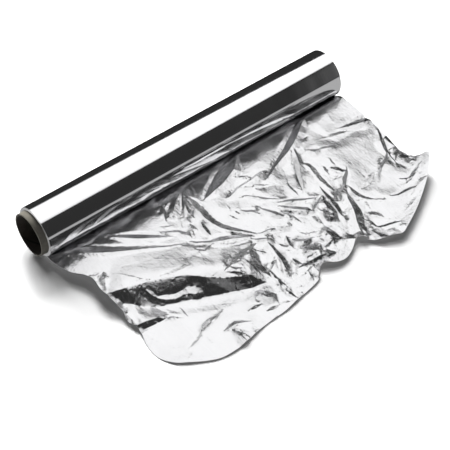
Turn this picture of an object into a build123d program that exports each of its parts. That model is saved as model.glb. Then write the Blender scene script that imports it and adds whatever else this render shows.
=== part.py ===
from build123d import *

import math
import os

from scipy.spatial import Delaunay

# A roll of aluminium foil on its card core, lying as it was left on a table: a length of foil has
# been pulled out from under the roll, and has crumpled as it settled.
#
# Millimetres. The origin is the centre of the core's bore, half way along the foil. +Y runs along
# the roll's axis, away from the end that is seen first, +X is the way the foil was pulled, and +Z
# is up. Two pieces: the card core, and the foil, whose wound turns and loose end are one strip.

# Driving sizes of the wound foil and its core
foil_width = 300.0            # the cut width of the strip, and so the length of the wound part
wound_depth = 2.75            # how deep the foil is wound on its core
core_outer_radius = 18.6      # radius of the card tube
core_wall = 1.4               # thickness of the wound card
core_near_overhang = 6.0      # how far the card stands out of the foil at the near end
core_far_overhang = 1.0       # and at the far end
core_rim_round = 0.25         # worn edge of the cut card
winding_clearance = 0.05      # between the card and the first turn
bottom_flat_depth = 0.12      # how much the roll's own weight flattens its lowest turns

# Turns that show at the cut ends, where groups of turns have slipped a little along the axis
turn_groups = 3
turn_slip = 0.35

# Driving sizes of the pulled-out end
sheet_gauge = 0.3             # thickness of the loose foil in this solid
sheet_reach = 176.0           # from the roll's axis to the furthest point of the front edge
crumple_height = 12.0         # height of the crest of the big step above the table
lead_angle = 30.0             # degrees round from the roll's lowest line to where the foil leaves it
lead_run = 3.5                # straight run of foil before the first fold

# Sizes worked out from them
half_width = foil_width / 2
core_inner_radius = core_outer_radius - core_wall
core_length = foil_width + core_near_overhang + core_far_overhang
winding_inner_radius = core_outer_radius + winding_clearance
foil_outer_radius = winding_inner_radius + wound_depth
floor_z = bottom_flat_depth - foil_outer_radius

# Where the foil leaves the roll, along its tangent
lead_sine = math.sin(math.radians(lead_angle))
lead_cosine = math.cos(math.radians(lead_angle))
leave_x = foil_outer_radius * lead_sine
leave_z = -foil_outer_radius * lead_cosine
lead_end_x = leave_x + lead_run * lead_cosine
lead_end_z = leave_z + lead_run * lead_sine

# The crumpled end is a net of folds. Each point is three shares: how far it lies from the roll
# (0 where the straight run ends, 1 at the front edge), how far along the roll (-1 at the near cut
# edge, 1 at the far one), and its height above the table as a share of the crumple height.
# The outline goes from the roll along the near edge, round the front, and back along the far edge.
outline_shares = [
    (0, -1, 0.38), (0.075, -1, 0.29), (0.155, -0.985, 0.03), (0.195, -0.965, 0.42),
    (0.23, -0.935, 0.75), (0.29, -0.915, 0.58), (0.34, -0.93, 0.85), (0.41, -0.93, 1),
    (0.47, -0.915, 0.7), (0.52, -0.91, 0.5), (0.54, -0.925, 0.08), (0.58, -0.925, 0),
    (0.61, -0.905, 0.02), (0.66, -0.915, 0.2), (0.735, -0.94, 0.02), (0.815, -0.94, 0.02),
    (0.885, -0.895, 0.1), (0.92, -0.84, 0.12), (0.965, -0.765, 0.07), (0.995, -0.695, 0.05),
    (1, -0.615, 0.1), (0.995, -0.535, 0.05), (0.99, -0.515, 0.22), (0.975, -0.44, 0.07),
    (0.965, -0.345, 0.03), (0.965, -0.255, 0.07), (0.95, -0.175, 0.15), (0.94, -0.1, 0.05),
    (0.93, -0.035, 0.08), (0.915, 0.025, 0.12), (0.87, 0.055, 0.2), (0.86, 0.1, 0.5),
    (0.895, 0.14, 0.33), (0.91, 0.205, 0.25), (0.885, 0.275, 0.27), (0.845, 0.335, 0.46),
    (0.84, 0.365, 0.46), (0.885, 0.395, 0.21), (0.92, 0.44, 0.18), (0.94, 0.505, 0.5),
    (0.965, 0.555, 0.42), (0.95, 0.6, 0.54), (0.9, 0.715, 0.58), (0.84, 0.825, 0.62),
    (0.77, 0.94, 0.75), (0.71, 1.015, 1), (0.66, 1.065, 1.25), (0.635, 1.02, 0.75),
    (0.605, 0.99, 0.42), (0.555, 0.98, 0.37), (0.495, 0.98, 0.45), (0.41, 0.995, 0.5),
    (0.335, 1, 0.6), (0.285, 1, 0.83), (0.235, 1, 0.63), (0.195, 1, 0.78), (0.125, 1, 0.8),
    (0.05, 1, 0.67), (0, 1, 0.38)
]

# A fold is a floor line and a bank line beside it: the face between them is the steep one, and
# the foil falls away gently from the bank. Folds meet in stars where the foil was pinched.
fold_shares = {
    "step crest": [
        (0.435, -0.815, 1.03), (0.46, -0.72, 1.04), (0.495, -0.655, 1.04), (0.55, -0.54, 1.03),
        (0.61, -0.46, 0.95), (0.675, -0.375, 0.83), (0.725, -0.275, 0.67), (0.745, -0.235, 0.58)
    ],
    "step foot": [
        (0.485, -0.855, 0.42), (0.54, -0.805, 0.2), (0.585, -0.715, 0.15), (0.6, -0.66, 0.15),
        (0.645, -0.59, 0.12), (0.665, -0.505, 0.1), (0.71, -0.39, 0.1), (0.765, -0.3, 0.13),
        (0.78, -0.255, 0.22)
    ],
    "ripple on the step": [
        (0.54, -0.715, 0.68), (0.58, -0.645, 0.48), (0.6, -0.57, 0.68), (0.64, -0.515, 0.52)
    ],
    "rise beside the roll": [
        (0.055, -0.92, 0.63), (0.055, -0.415, 0.7), (0.055, -0.055, 0.63), (0.055, 0.08, 0.65),
        (0.055, 0.24, 0.67), (0.055, 0.385, 0.67), (0.055, 0.52, 0.67), (0.055, 0.8, 0.67),
        (0.055, 0.905, 0.67)
    ],
    "first pleat trough": [
        (0.085, -0.65, 0.7), (0.14, -0.585, 0.72), (0.215, -0.485, 0.75), (0.275, -0.43, 0.8)
    ],
    "first pleat ridge": [
        (0.09, -0.745, 0.83), (0.14, -0.675, 0.88), (0.215, -0.56, 0.9), (0.27, -0.47, 0.88)
    ],
    "second pleat trough": [
        (0.05, -0.795, 0.54), (0.12, -0.735, 0.7), (0.185, -0.645, 0.75), (0.25, -0.575, 0.8)
    ],
    "second pleat ridge": [
        (0.08, -0.91, 0.78), (0.13, -0.845, 0.88), (0.195, -0.76, 0.92), (0.235, -0.695, 0.92),
        (0.285, -0.605, 0.88)
    ],
    "faint line on the high ground": [(0.305, -0.83, 0.95), (0.38, -0.765, 0.92), (0.455, -0.71, 1)],
    "tip of the turned-down near edge": [(0.285, -0.865, 0.98)],
    "fan at the roll, inner arc": [
        (0.16, -0.195, 0.83), (0.15, -0.21, 0.72), (0.145, -0.23, 0.82), (0.12, -0.245, 0.68),
        (0.11, -0.26, 0.78), (0.09, -0.27, 0.67)
    ],
    "fan at the roll, outer arc": [
        (0.245, -0.225, 0.85), (0.225, -0.25, 0.75), (0.22, -0.285, 0.85), (0.18, -0.325, 0.75),
        (0.165, -0.35, 0.83), (0.13, -0.36, 0.75)
    ],
    "long trough, floor": [
        (0.08, -0.165, 0.67), (0.17, -0.155, 0.67), (0.27, -0.17, 0.67), (0.35, -0.15, 0.65),
        (0.425, -0.11, 0.63), (0.485, -0.08, 0.65), (0.54, -0.05, 0.7)
    ],
    "long trough, bank": [
        (0.325, -0.225, 0.85), (0.385, -0.215, 0.83), (0.435, -0.185, 0.82), (0.485, -0.135, 0.8)
    ],
    "short fold below the trough": [
        (0.29, -0.23, 0.78), (0.35, -0.23, 0.68), (0.41, -0.26, 0.78), (0.355, -0.265, 0.82)
    ],
    "leaf-shaped fold": [
        (0.525, -0.105, 0.78), (0.45, -0.175, 0.62), (0.42, -0.24, 0.57), (0.435, -0.295, 0.72),
        (0.5, -0.17, 0.8), (0.48, -0.25, 0.78)
    ],
    "straight crease, floor": [(0.575, -0.11, 0.7), (0.59, -0.215, 0.62), (0.615, -0.35, 0.72)],
    "straight crease, bank": [(0.595, -0.115, 0.78), (0.615, -0.225, 0.74)],
    "small pleats beside the leaf": [
        (0.415, -0.305, 0.87), (0.38, -0.355, 0.78), (0.4, -0.36, 0.87), (0.31, -0.295, 0.77),
        (0.325, -0.32, 0.85), (0.26, -0.285, 0.8)
    ],
    "flank of the star": [(0.655, -0.11, 0.67), (0.615, -0.125, 0.6)],
    "sharp fold, floor": [
        (0.625, -0.045, 0.67), (0.67, -0.03, 0.5), (0.72, -0.05, 0.43), (0.78, -0.07, 0.38),
        (0.82, -0.085, 0.33)
    ],
    "sharp fold, bank": [
        (0.635, -0.065, 0.75), (0.68, -0.055, 0.65), (0.735, -0.075, 0.6), (0.79, -0.1, 0.53)
    ],
    "streaks, floor": [(0.69, -0.08, 0.5), (0.715, -0.135, 0.38), (0.74, -0.165, 0.33)],
    "streaks, bank": [(0.71, -0.09, 0.58), (0.745, -0.145, 0.48), (0.775, -0.19, 0.46)],
    "crumples behind the front edge": [
        (0.825, -0.135, 0.38), (0.87, -0.165, 0.17), (0.835, -0.185, 0.28), (0.795, -0.245, 0.3),
        (0.83, -0.23, 0.17), (0.855, -0.26, 0.3), (0.815, -0.29, 0.25), (0.895, -0.095, 0.2),
        (0.855, -0.05, 0.25)
    ],
    "front wedge": [(0.895, -0.45, 0.13), (0.85, -0.5, 0.03), (0.87, -0.585, 0.12), (0.885, -0.51, 0.17)],
    "front crease, floor": [
        (0.775, -0.51, 0.1), (0.795, -0.6, 0.04), (0.82, -0.68, 0.05), (0.845, -0.775, 0.08)
    ],
    "front crease, bank": [
        (0.795, -0.52, 0.17), (0.82, -0.605, 0.16), (0.84, -0.68, 0.17), (0.865, -0.765, 0.15)
    ],
    "notch in the front edge": [(0.89, -0.54, 0.12), (0.935, -0.525, 0.03), (0.945, -0.515, 0.2)],
    "small front leaf": [(0.895, -0.25, 0.08), (0.905, -0.325, 0.07), (0.92, -0.26, 0.18)],
    "face at the near edge": [(0.63, -0.75, 0.18), (0.655, -0.785, 0.27)],
    "near triangle": [(0.61, -0.71, 0.22), (0.7, -0.68, 0.3), (0.645, -0.65, 0.17), (0.665, -0.745, 0.15)],
    "second near triangle": [(0.61, -0.62, 0.23), (0.65, -0.625, 0.12), (0.645, -0.58, 0.22)],
    "flat of the front": [
        (0.73, -0.785, 0.03), (0.745, -0.455, 0.05), (0.825, -0.385, 0.07), (0.76, -0.865, 0.02),
        (0.905, -0.655, 0.07), (0.885, -0.755, 0.05), (0.72, -0.62, 0.07)
    ],
    "wavy crease, floor": [
        (0.21, 0.25, 0.71), (0.21, 0.195, 0.67), (0.215, 0.16, 0.65), (0.215, 0.1, 0.65),
        (0.23, 0.045, 0.67), (0.25, -0.005, 0.73)
    ],
    "wavy crease, bank": [(0.23, 0.19, 0.78), (0.24, 0.145, 0.82), (0.24, 0.09, 0.82), (0.255, 0.04, 0.8)],
    "crumple line, first": [
        (0.37, -0.015, 0.75), (0.4, 0.045, 0.67), (0.43, 0.04, 0.75), (0.385, -0.025, 0.83),
        (0.425, 0.015, 0.85)
    ],
    "crumple line, second": [
        (0.41, 0.07, 0.73), (0.45, 0.11, 0.67), (0.49, 0.135, 0.67), (0.525, 0.14, 0.73),
        (0.43, 0.055, 0.83), (0.475, 0.085, 0.83), (0.52, 0.115, 0.82)
    ],
    "crumple line, third": [
        (0.49, 0.15, 0.73), (0.52, 0.175, 0.67), (0.56, 0.18, 0.72), (0.51, 0.14, 0.8),
        (0.55, 0.155, 0.8)
    ],
    "soft star": [
        (0.43, 0.175, 0.83), (0.305, 0.07, 0.73), (0.37, 0.14, 0.72), (0.355, 0.275, 0.75),
        (0.51, 0.315, 0.7), (0.455, 0.2, 0.75), (0.335, 0.18, 0.78), (0.31, -0.02, 0.8),
        (0.485, -0.01, 0.8), (0.31, -0.09, 0.82)
    ],
    "slanting band, floor": [(0.57, 0.295, 0.58), (0.525, 0.25, 0.58), (0.475, 0.185, 0.67)],
    "slanting band, bank": [(0.595, 0.27, 0.73), (0.56, 0.225, 0.75), (0.505, 0.17, 0.78)],
    "thin wedge": [(0.535, 0.4, 0.62), (0.55, 0.345, 0.55), (0.55, 0.39, 0.72), (0.58, 0.33, 0.73)],
    "lower twin fold, floor": [(0.59, 0.395, 0.5), (0.645, 0.385, 0.45), (0.69, 0.38, 0.43)],
    "lower twin fold, bank": [(0.61, 0.355, 0.67), (0.66, 0.345, 0.65), (0.71, 0.33, 0.62)],
    "upper twin fold, floor": [
        (0.485, 0.435, 0.63), (0.555, 0.43, 0.55), (0.62, 0.43, 0.52), (0.68, 0.41, 0.48)
    ],
    "upper twin fold, bank": [(0.565, 0.41, 0.68), (0.63, 0.4, 0.65), (0.68, 0.385, 0.6)],
    "knot beside the twin folds": [
        (0.685, 0.425, 0.55), (0.72, 0.455, 0.62), (0.73, 0.4, 0.5), (0.71, 0.395, 0.42)
    ],
    "four-sided face, floor": [(0.685, 0.265, 0.53), (0.72, 0.3, 0.32), (0.78, 0.295, 0.28)],
    "four-sided face, bank": [(0.72, 0.24, 0.63), (0.78, 0.23, 0.55), (0.755, 0.175, 0.47)],
    "crumples beside the four-sided face": [
        (0.8, 0.16, 0.43), (0.805, 0.27, 0.4), (0.62, 0.265, 0.63), (0.655, 0.275, 0.67),
        (0.81, 0.35, 0.27), (0.755, 0.375, 0.28)
    ],
    "second four-sided face": [
        (0.745, 0.175, 0.28), (0.72, 0.07, 0.37), (0.8, 0.145, 0.48), (0.775, 0.085, 0.52)
    ],
    "third four-sided face": [
        (0.805, 0.145, 0.2), (0.805, 0.075, 0.2), (0.855, 0.185, 0.45), (0.85, 0.085, 0.4)
    ],
    "second wavy crease, floor": [
        (0.695, 0.17, 0.42), (0.695, 0.125, 0.4), (0.665, 0.085, 0.43), (0.685, 0.05, 0.4),
        (0.65, 0.01, 0.5)
    ],
    "second wavy crease, bank": [
        (0.72, 0.165, 0.53), (0.715, 0.11, 0.53), (0.69, 0.065, 0.57), (0.715, 0.04, 0.53),
        (0.675, 0, 0.58)
    ],
    "crumples beside the wavy crease": [
        (0.62, 0.075, 0.6), (0.65, 0.06, 0.52), (0.595, 0.09, 0.68), (0.555, 0.05, 0.73)
    ],
    "crumples at the front notch": [
        (0.805, 0.04, 0.22), (0.805, -0.03, 0.22), (0.825, 0.035, 0.33), (0.83, -0.05, 0.28),
        (0.78, -0.025, 0.33), (0.77, -0.015, 0.47), (0.8, 0.005, 0.38), (0.845, 0.055, 0.2),
        (0.865, 0.005, 0.23)
    ],
    "long fold from the roll, floor": [
        (0.065, 0.625, 0.62), (0.115, 0.565, 0.62), (0.175, 0.505, 0.6), (0.24, 0.445, 0.6),
        (0.3, 0.4, 0.6), (0.375, 0.355, 0.63), (0.44, 0.335, 0.7)
    ],
    "long fold from the roll, bank": [
        (0.075, 0.685, 0.75), (0.13, 0.615, 0.82), (0.2, 0.53, 0.83), (0.25, 0.48, 0.83),
        (0.31, 0.425, 0.83), (0.385, 0.365, 0.8)
    ],
    "slanting wedge": [
        (0.12, 0.495, 0.62), (0.165, 0.415, 0.62), (0.215, 0.33, 0.67), (0.21, 0.41, 0.78),
        (0.25, 0.31, 0.8), (0.285, 0.23, 0.78)
    ],
    "wedge above the long fold": [(0.185, 0.595, 0.73), (0.23, 0.55, 0.87)],
    "small wedge": [(0.295, 0.685, 0.77), (0.255, 0.59, 0.72), (0.28, 0.585, 0.83), (0.295, 0.63, 0.82)],
    "soft band, floor": [(0.305, 0.495, 0.72), (0.375, 0.5, 0.62), (0.455, 0.48, 0.58), (0.53, 0.48, 0.57)],
    "soft band, bank": [(0.37, 0.46, 0.78), (0.455, 0.44, 0.77), (0.54, 0.455, 0.72)],
    "valley, upper crest": [
        (0.415, 0.575, 0.75), (0.455, 0.605, 0.78), (0.485, 0.63, 0.77), (0.53, 0.59, 0.73),
        (0.575, 0.555, 0.67), (0.62, 0.55, 0.58), (0.675, 0.545, 0.57)
    ],
    "valley, upper foot": [
        (0.45, 0.565, 0.63), (0.485, 0.58, 0.52), (0.525, 0.56, 0.45), (0.56, 0.545, 0.42),
        (0.605, 0.545, 0.4), (0.655, 0.535, 0.47)
    ],
    "valley, front crest": [
        (0.715, 0.515, 0.57), (0.75, 0.495, 0.53), (0.8, 0.465, 0.5), (0.85, 0.455, 0.43)
    ],
    "valley, front foot": [
        (0.625, 0.5, 0.37), (0.695, 0.485, 0.25), (0.73, 0.445, 0.2), (0.775, 0.425, 0.17),
        (0.825, 0.405, 0.18)
    ],
    "triangle below the valley": [
        (0.555, 0.49, 0.43), (0.585, 0.43, 0.52), (0.58, 0.515, 0.62), (0.59, 0.465, 0.62),
        (0.645, 0.45, 0.58)
    ],
    "far fold, floor": [
        (0.42, 0.94, 0.5), (0.49, 0.905, 0.45), (0.52, 0.845, 0.42), (0.54, 0.805, 0.4),
        (0.575, 0.775, 0.38), (0.635, 0.725, 0.42)
    ],
    "far fold, bank": [
        (0.43, 0.955, 0.68), (0.505, 0.915, 0.65), (0.555, 0.845, 0.62), (0.58, 0.795, 0.58),
        (0.61, 0.765, 0.53)
    ],
    "small far fold": [
        (0.52, 0.975, 0.38), (0.54, 0.925, 0.4), (0.59, 0.885, 0.47), (0.54, 0.965, 0.52),
        (0.57, 0.915, 0.55)
    ],
    "soft wedge in the far edge": [(0.235, 0.92, 0.65), (0.27, 0.915, 0.82), (0.23, 0.835, 0.73)],
    "soft far crumples": [
        (0.565, 0.74, 0.43), (0.595, 0.69, 0.37), (0.605, 0.63, 0.4), (0.625, 0.68, 0.5),
        (0.66, 0.575, 0.42), (0.725, 0.645, 0.52), (0.705, 0.585, 0.55)
    ],
    "far high ground": [
        (0.37, 0.815, 0.72), (0.425, 0.715, 0.67), (0.34, 0.68, 0.75), (0.155, 0.815, 0.77),
        (0.185, 0.71, 0.78), (0.455, 0.82, 0.65), (0.34, 0.905, 0.7)
    ],
    "foot of the curled edge": [
        (0.745, 0.845, 0.5), (0.75, 0.78, 0.45), (0.75, 0.725, 0.5), (0.785, 0.83, 0.67),
        (0.775, 0.775, 0.58), (0.82, 0.76, 0.45), (0.855, 0.675, 0.42), (0.895, 0.63, 0.43)
    ],
    "streaks below the raised tip": [
        (0.665, 0.925, 0.5), (0.68, 0.865, 0.55), (0.7, 0.935, 0.7), (0.735, 0.855, 0.67),
        (0.63, 0.905, 0.47)
    ],
    "inside of the far corner": [(0.865, 0.565, 0.28), (0.85, 0.49, 0.27), (0.89, 0.555, 0.45)],
    "crumples at the far corner": [
        (0.77, 0.545, 0.33), (0.8, 0.575, 0.48), (0.835, 0.56, 0.33), (0.81, 0.51, 0.37),
        (0.75, 0.585, 0.42), (0.66, 0.66, 0.47)
    ],
}

# Points along the straight run, so that the first row of faces has no long slivers
lead_row_share = 0.1


def inside(outline, point):
    """Say whether a point lies inside the closed outline, both as shares."""
    crossings = 0
    for here, following in zip(outline, outline[1:] + outline[:1]):
        if (here[1] > point[1]) != (following[1] > point[1]):
            along = (point[1] - here[1]) / (following[1] - here[1])
            if point[0] < here[0] + along * (following[0] - here[0]):
                crossings += 1
    return crossings % 2 == 1


def sheet_points():
    """Give every point of the net: the outline, the folds, and the row where the foil leaves."""
    points = list(outline_shares)
    for fold in fold_shares.values():
        points += fold
    steps = round(2 / lead_row_share)
    for step in range(1, steps):
        points.append((0, step * lead_row_share - 1, 0))
    return points


def sheet_place(share):
    """Turn three shares into a place in millimetres, on the underside of the foil."""
    from_roll, along, height = share
    if from_roll == 0:
        return (lead_end_x, along * half_width, lead_end_z)
    x = lead_end_x + from_roll * (sheet_reach - lead_end_x)
    return (x, along * half_width, floor_z + height * crumple_height)


def crumpled_sheet():
    """Make the loose end as one closed solid: a top, an underside and a wall round the edge."""
    points = sheet_points()
    triangles = []
    for corners in Delaunay([(point[0], point[1]) for point in points]).simplices:
        middle = [sum(points[corner][axis] for corner in corners) / 3 for axis in (0, 1)]
        if inside(outline_shares, middle):
            triangles.append([int(corner) for corner in corners])

    under = [Vector(*sheet_place(point)) for point in points]
    over = [place + Vector(0, 0, sheet_gauge) for place in under]
    faces = []
    edges = {}
    for a, b, c in triangles:
        faces.append(Face(Wire.make_polygon([over[a], over[b], over[c]])))
        faces.append(Face(Wire.make_polygon([under[a], under[c], under[b]])))
        for pair in ((a, b), (b, c), (c, a)):
            edges[tuple(sorted(pair))] = edges.get(tuple(sorted(pair)), 0) + 1
    for (a, b), uses in edges.items():
        if uses == 1:
            faces.append(Face(Wire.make_polygon([under[a], under[b], over[b], over[a]])))
    return Solid(Shell(faces))


# The card core: a plain cut tube with its rims worn round
with BuildPart() as core_tube:
    with BuildSketch(Plane.XZ.offset(-half_width - core_far_overhang)):
        Circle(core_outer_radius)
        Circle(core_inner_radius, mode=Mode.SUBTRACT)
    extrude(amount=core_length)
    rims = core_tube.edges().filter_by(GeomType.CIRCLE)
    fillet(rims, radius=core_rim_round)

# The roll lies on a narrow flat. The upper side of the straight run lies a gauge above its lower
# side, so it leaves the roll a little further round: at this angle from the roll's lowest line.
flat_half_width = math.sqrt(foil_outer_radius**2 - floor_z**2)
upper_offset = foil_outer_radius - sheet_gauge * lead_cosine
upper_angle = math.radians(lead_angle) + math.acos(upper_offset / foil_outer_radius)
meet_x = foil_outer_radius * math.sin(upper_angle)
meet_z = -foil_outer_radius * math.cos(upper_angle)

# The foil: the wound turns with the straight run leaving them, then the crumpled end

with BuildPart() as foil:
    with BuildSketch(Plane.XZ):
        with BuildLine():
            Line((leave_x, leave_z), (lead_end_x, lead_end_z))
            Line((lead_end_x, lead_end_z), (lead_end_x, lead_end_z + sheet_gauge))
            Line((lead_end_x, lead_end_z + sheet_gauge), (meet_x, meet_z))
            ThreePointArc((meet_x, meet_z), (0, foil_outer_radius), (-flat_half_width, floor_z))
            Line((-flat_half_width, floor_z), (flat_half_width, floor_z))
            RadiusArc((flat_half_width, floor_z), (leave_x, leave_z), -foil_outer_radius)
        make_face()
        Circle(winding_inner_radius, mode=Mode.SUBTRACT)
    extrude(amount=half_width, both=True)

    # Groups of turns that slipped show as shallow rings at each cut end
    band = wound_depth / (2 * turn_groups + 1)
    for side in (-1, 1):
        with BuildSketch(Plane.XZ.offset(side * half_width)):
            for group in range(turn_groups):
                ring_inner = winding_inner_radius + (2 * group + 1) * band
                Circle(ring_inner + band)
                Circle(ring_inner, mode=Mode.SUBTRACT)
        extrude(amount=-side * turn_slip, mode=Mode.SUBTRACT)

    add(crumpled_sheet())

os.makedirs("parts", exist_ok=True)
core_tube.part.label = "core_tube"
export_step(core_tube.part, "parts/core_tube.step")
foil.part.label = "foil"
export_step(foil.part, "parts/foil.step")
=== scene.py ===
# %% [markdown]
# # A roll of kitchen foil, partly unrolled
# The real object is a card tube with a long strip of aluminium foil wound on it. The strip's loose
# end has been pulled out over the table, crushed a little, and laid flat again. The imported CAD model
# is the frame: it fixes the size and place of the tube, of the turns and of every main fold.

# %% Load the frame
import math
import random
import bpy
import numpy as np
from mathutils import Matrix, Vector
from mathutils.geometry import delaunay_2d_cdt


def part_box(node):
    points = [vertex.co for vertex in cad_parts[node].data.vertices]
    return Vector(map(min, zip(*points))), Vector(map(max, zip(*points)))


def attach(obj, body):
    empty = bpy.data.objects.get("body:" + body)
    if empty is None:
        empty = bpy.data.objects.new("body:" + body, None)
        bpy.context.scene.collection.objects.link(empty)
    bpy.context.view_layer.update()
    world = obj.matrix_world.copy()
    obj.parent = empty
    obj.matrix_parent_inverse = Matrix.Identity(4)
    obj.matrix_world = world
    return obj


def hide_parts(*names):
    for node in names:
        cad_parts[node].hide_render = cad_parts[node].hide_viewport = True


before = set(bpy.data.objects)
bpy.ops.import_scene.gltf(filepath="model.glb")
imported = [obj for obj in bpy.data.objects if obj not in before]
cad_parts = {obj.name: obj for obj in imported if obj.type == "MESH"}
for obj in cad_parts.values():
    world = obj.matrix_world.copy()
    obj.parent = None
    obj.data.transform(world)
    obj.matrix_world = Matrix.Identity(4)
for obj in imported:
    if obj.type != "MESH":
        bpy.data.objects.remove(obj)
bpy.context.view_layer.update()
MM = 0.001

# %% [markdown]
# The sizes that the looks need are read back from the frame's boxes instead of being typed in twice.
# Only the strip's width is given, because the crushed end reaches past it.

# %% Sizes from the frame
tube_low, tube_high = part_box("core_tube")
foil_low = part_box("foil")[0]
tube_radius = tube_high[0] / MM
tube_near, tube_far = tube_low[1] / MM, tube_high[1] / MM
roll_radius = -foil_low[0] / MM
strip_width = 300.0
roll_near, roll_far = -strip_width / 2, strip_width / 2
table_z = foil_low[2] / MM
print("tube radius", round(tube_radius, 2), "from", round(tube_near, 2), "to", round(tube_far, 2))
print("roll radius", round(roll_radius, 2), "table at", round(table_z, 2), "mm")

# %% [markdown]
# ## The camera
# The camera looks down on the sheet at about 47 degrees, from in front of the roll's near end. A long
# lens from over a metre away keeps the edges of the roll almost parallel. Its three axes are given as
# a matrix, so there is no aim to adjust later.

# %% Camera
camera_place = Vector((0.6842, -0.5108, 0.8184))
camera_right = Vector((0.6266, 0.7793, 0.0))
camera_up = Vector((-0.5688, 0.4573, 0.6836))
camera_back = Vector((0.5328, -0.4284, 0.7298))
sensor_width = 36.0
lens_length = 114.95


def add_object(name, data):
    """A new object in the scene."""
    made = bpy.data.objects.new(name, data)
    bpy.context.scene.collection.objects.link(made)
    return made


def stand(thing, place, right, up, back):
    """Put a thing at a place, with its own three axes along these directions."""
    thing.matrix_world = Matrix.Translation(place) @ Matrix((right, up, back)).transposed().to_4x4()


camera_data = bpy.data.cameras.new("camera")
camera_data.sensor_width = sensor_width
camera_data.lens = lens_length
camera = add_object("camera", camera_data)
stand(camera, camera_place, camera_right, camera_up, camera_back)
bpy.context.scene.camera = camera
print("camera", round(camera_place.length, 3), "m from the roll's middle")

# %% [markdown]
# ## Shader maths that reads like maths
# A material is a graph of nodes. Written out link by link, a sum of two noises takes ten lines. This
# class wraps one output socket, so that adding, subtracting or multiplying it makes the Math node
# and its links. The reflected forms let a plain number stand first, as in 1 - share.

# %% A socket that can be calculated with
class Shade:
    """An output socket of a node."""

    def __init__(self, tree, socket):
        self.tree = tree
        self.socket = socket

    def math(self, operation, first, second):
        return node(self.tree, "ShaderNodeMath", {"operation": operation}, {0: first, 1: second})

    def __add__(self, other):
        return self.math("ADD", self, other)

    def __sub__(self, other):
        return self.math("SUBTRACT", self, other)

    def __rsub__(self, other):
        return self.math("SUBTRACT", other, self)

    def __mul__(self, other):
        return self.math("MULTIPLY", self, other)

    def __pow__(self, other):
        return self.math("POWER", self, other)

    __radd__ = __add__
    __rmul__ = __mul__


print("a socket now takes + - * and **")

# %% [markdown]
# Every node, those Math nodes too, comes from one function. It sets the node's own settings first,
# because a setting can change which sockets there are. A material starts as an empty graph and ends
# in one Principled shader, which serves for bare metal and for card alike.

# %% Make nodes and materials
def node(tree, kind, settings, sockets, output=0):
    """Make a node, set it up, and give its sockets their values and links."""
    made = tree.nodes.new(kind)
    for name, value in settings.items():
        setattr(made, name, value)
    for name, value in sockets.items():
        if isinstance(value, Shade):
            tree.links.new(value.socket, made.inputs[name])
        else:
            made.inputs[name].default_value = value
    return Shade(tree, made.outputs[output])


def output_node(tree, kind, shade):
    """End a graph."""
    tree.links.new(shade.socket, tree.nodes.new(kind).inputs["Surface"])


def object_place(tree):
    """The place of a point in the object's own axes, in metres."""
    return node(tree, "ShaderNodeTexCoord", {}, {}, "Object")


def three_axes(tree, vector):
    """The x, y and z of a vector, each as a socket."""
    return [node(tree, "ShaderNodeSeparateXYZ", {}, {0: vector}, axis) for axis in "XYZ"]


def new_material(name):
    """A material with an empty graph."""
    made = bpy.data.materials.new(name)
    made.use_nodes = True
    made.node_tree.nodes.clear()
    return made, made.node_tree


def finish_material(tree, sockets):
    """End a material in one Principled shader."""
    output_node(tree, "ShaderNodeOutputMaterial", node(tree, "ShaderNodeBsdfPrincipled", {}, sockets))


floor_colour = (0.9, 0.9, 0.9, 1)
floor_roughness = 0.9
floor_finish, tree = new_material("pale floor")
sockets = {"Base Color": floor_colour, "Roughness": floor_roughness, "Specular IOR Level": 0.0}
finish_material(tree, sockets)
print("floor finish:", len(tree.nodes), "nodes")

# %% [markdown]
# ## The studio
# The floor is one large pale sheet at the table's height. Product pictures keep the table out of the
# metal with black cards, so here the floor is hidden from glossy rays.

# %% Floor
floor_half = 4.0
floor_mesh = bpy.data.meshes.new("floor")
floor_corners = [(x * floor_half, y * floor_half, 0) for x, y in ((-1, -1), (1, -1), (1, 1), (-1, 1))]
floor_mesh.from_pydata(floor_corners, [], [(0, 1, 2, 3)])
floor_mesh.materials.append(floor_finish)
floor = add_object("floor", floor_mesh)
floor.location.z = table_z * MM
floor.visible_glossy = False
print("floor", 2 * floor_half, "m wide")

# %% [markdown]
# Foil has hardly any colour of its own: what it shows is the studio. One wide soft box hangs over
# the roll and behind it, and the room in front of it stays dark. That gives the roll its crisp white
# and black bands, and makes each facet of the sheet white or dark by its tilt alone. A glowing mesh
# is used instead of a lamp, so that its outline and its falling brightness can both be chosen.

# %% Soft box
box_corners = [(-0.40, 1.90), (0.10, 1.67), (2.17, -0.82), (-0.40, -2.29)]
box_middle = (0.70, -0.20, 0.0)
box_fade_radius = 1.6
box_brightness = 1.36
box_fade = 0.5

box_mesh = bpy.data.meshes.new("soft_box")
box_mesh.from_pydata([(*corner, 0) for corner in box_corners], [], [range(len(box_corners))])
box_glow, tree = new_material("soft box")
settings, sockets = {"operation": "DISTANCE"}, {0: object_place(tree), 1: box_middle}
share = node(tree, "ShaderNodeVectorMath", settings, sockets, "Value") * (1 / box_fade_radius)
brightness = box_brightness * (1 - box_fade * share * share)
output_node(tree, "ShaderNodeOutputMaterial", node(tree, "ShaderNodeEmission", {}, {"Strength": brightness}))
box_mesh.materials.append(box_glow)
print("soft box with", len(box_corners), "corners")

# %% [markdown]
# The box is turned about the roll's own axis, so one angle says how high it hangs behind the roll.
# Neither the camera nor the floor sees it: it is there for the metal only.

# %% Hang the soft box
box_angle = 116.5
box_distance = 1.5
lean = math.radians(box_angle)
outwards = Vector((math.cos(lean), 0, math.sin(lean)))
backwards = Vector((-math.sin(lean), 0, math.cos(lean)))
soft_box = add_object("soft_box", box_mesh)
stand(soft_box, outwards * box_distance, Vector((0, 1, 0)), backwards, outwards)
soft_box.visible_camera = False
soft_box.visible_diffuse = False
soft_box.visible_shadow = False
print("soft box at", [round(value, 2) for value in soft_box.location])

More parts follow.
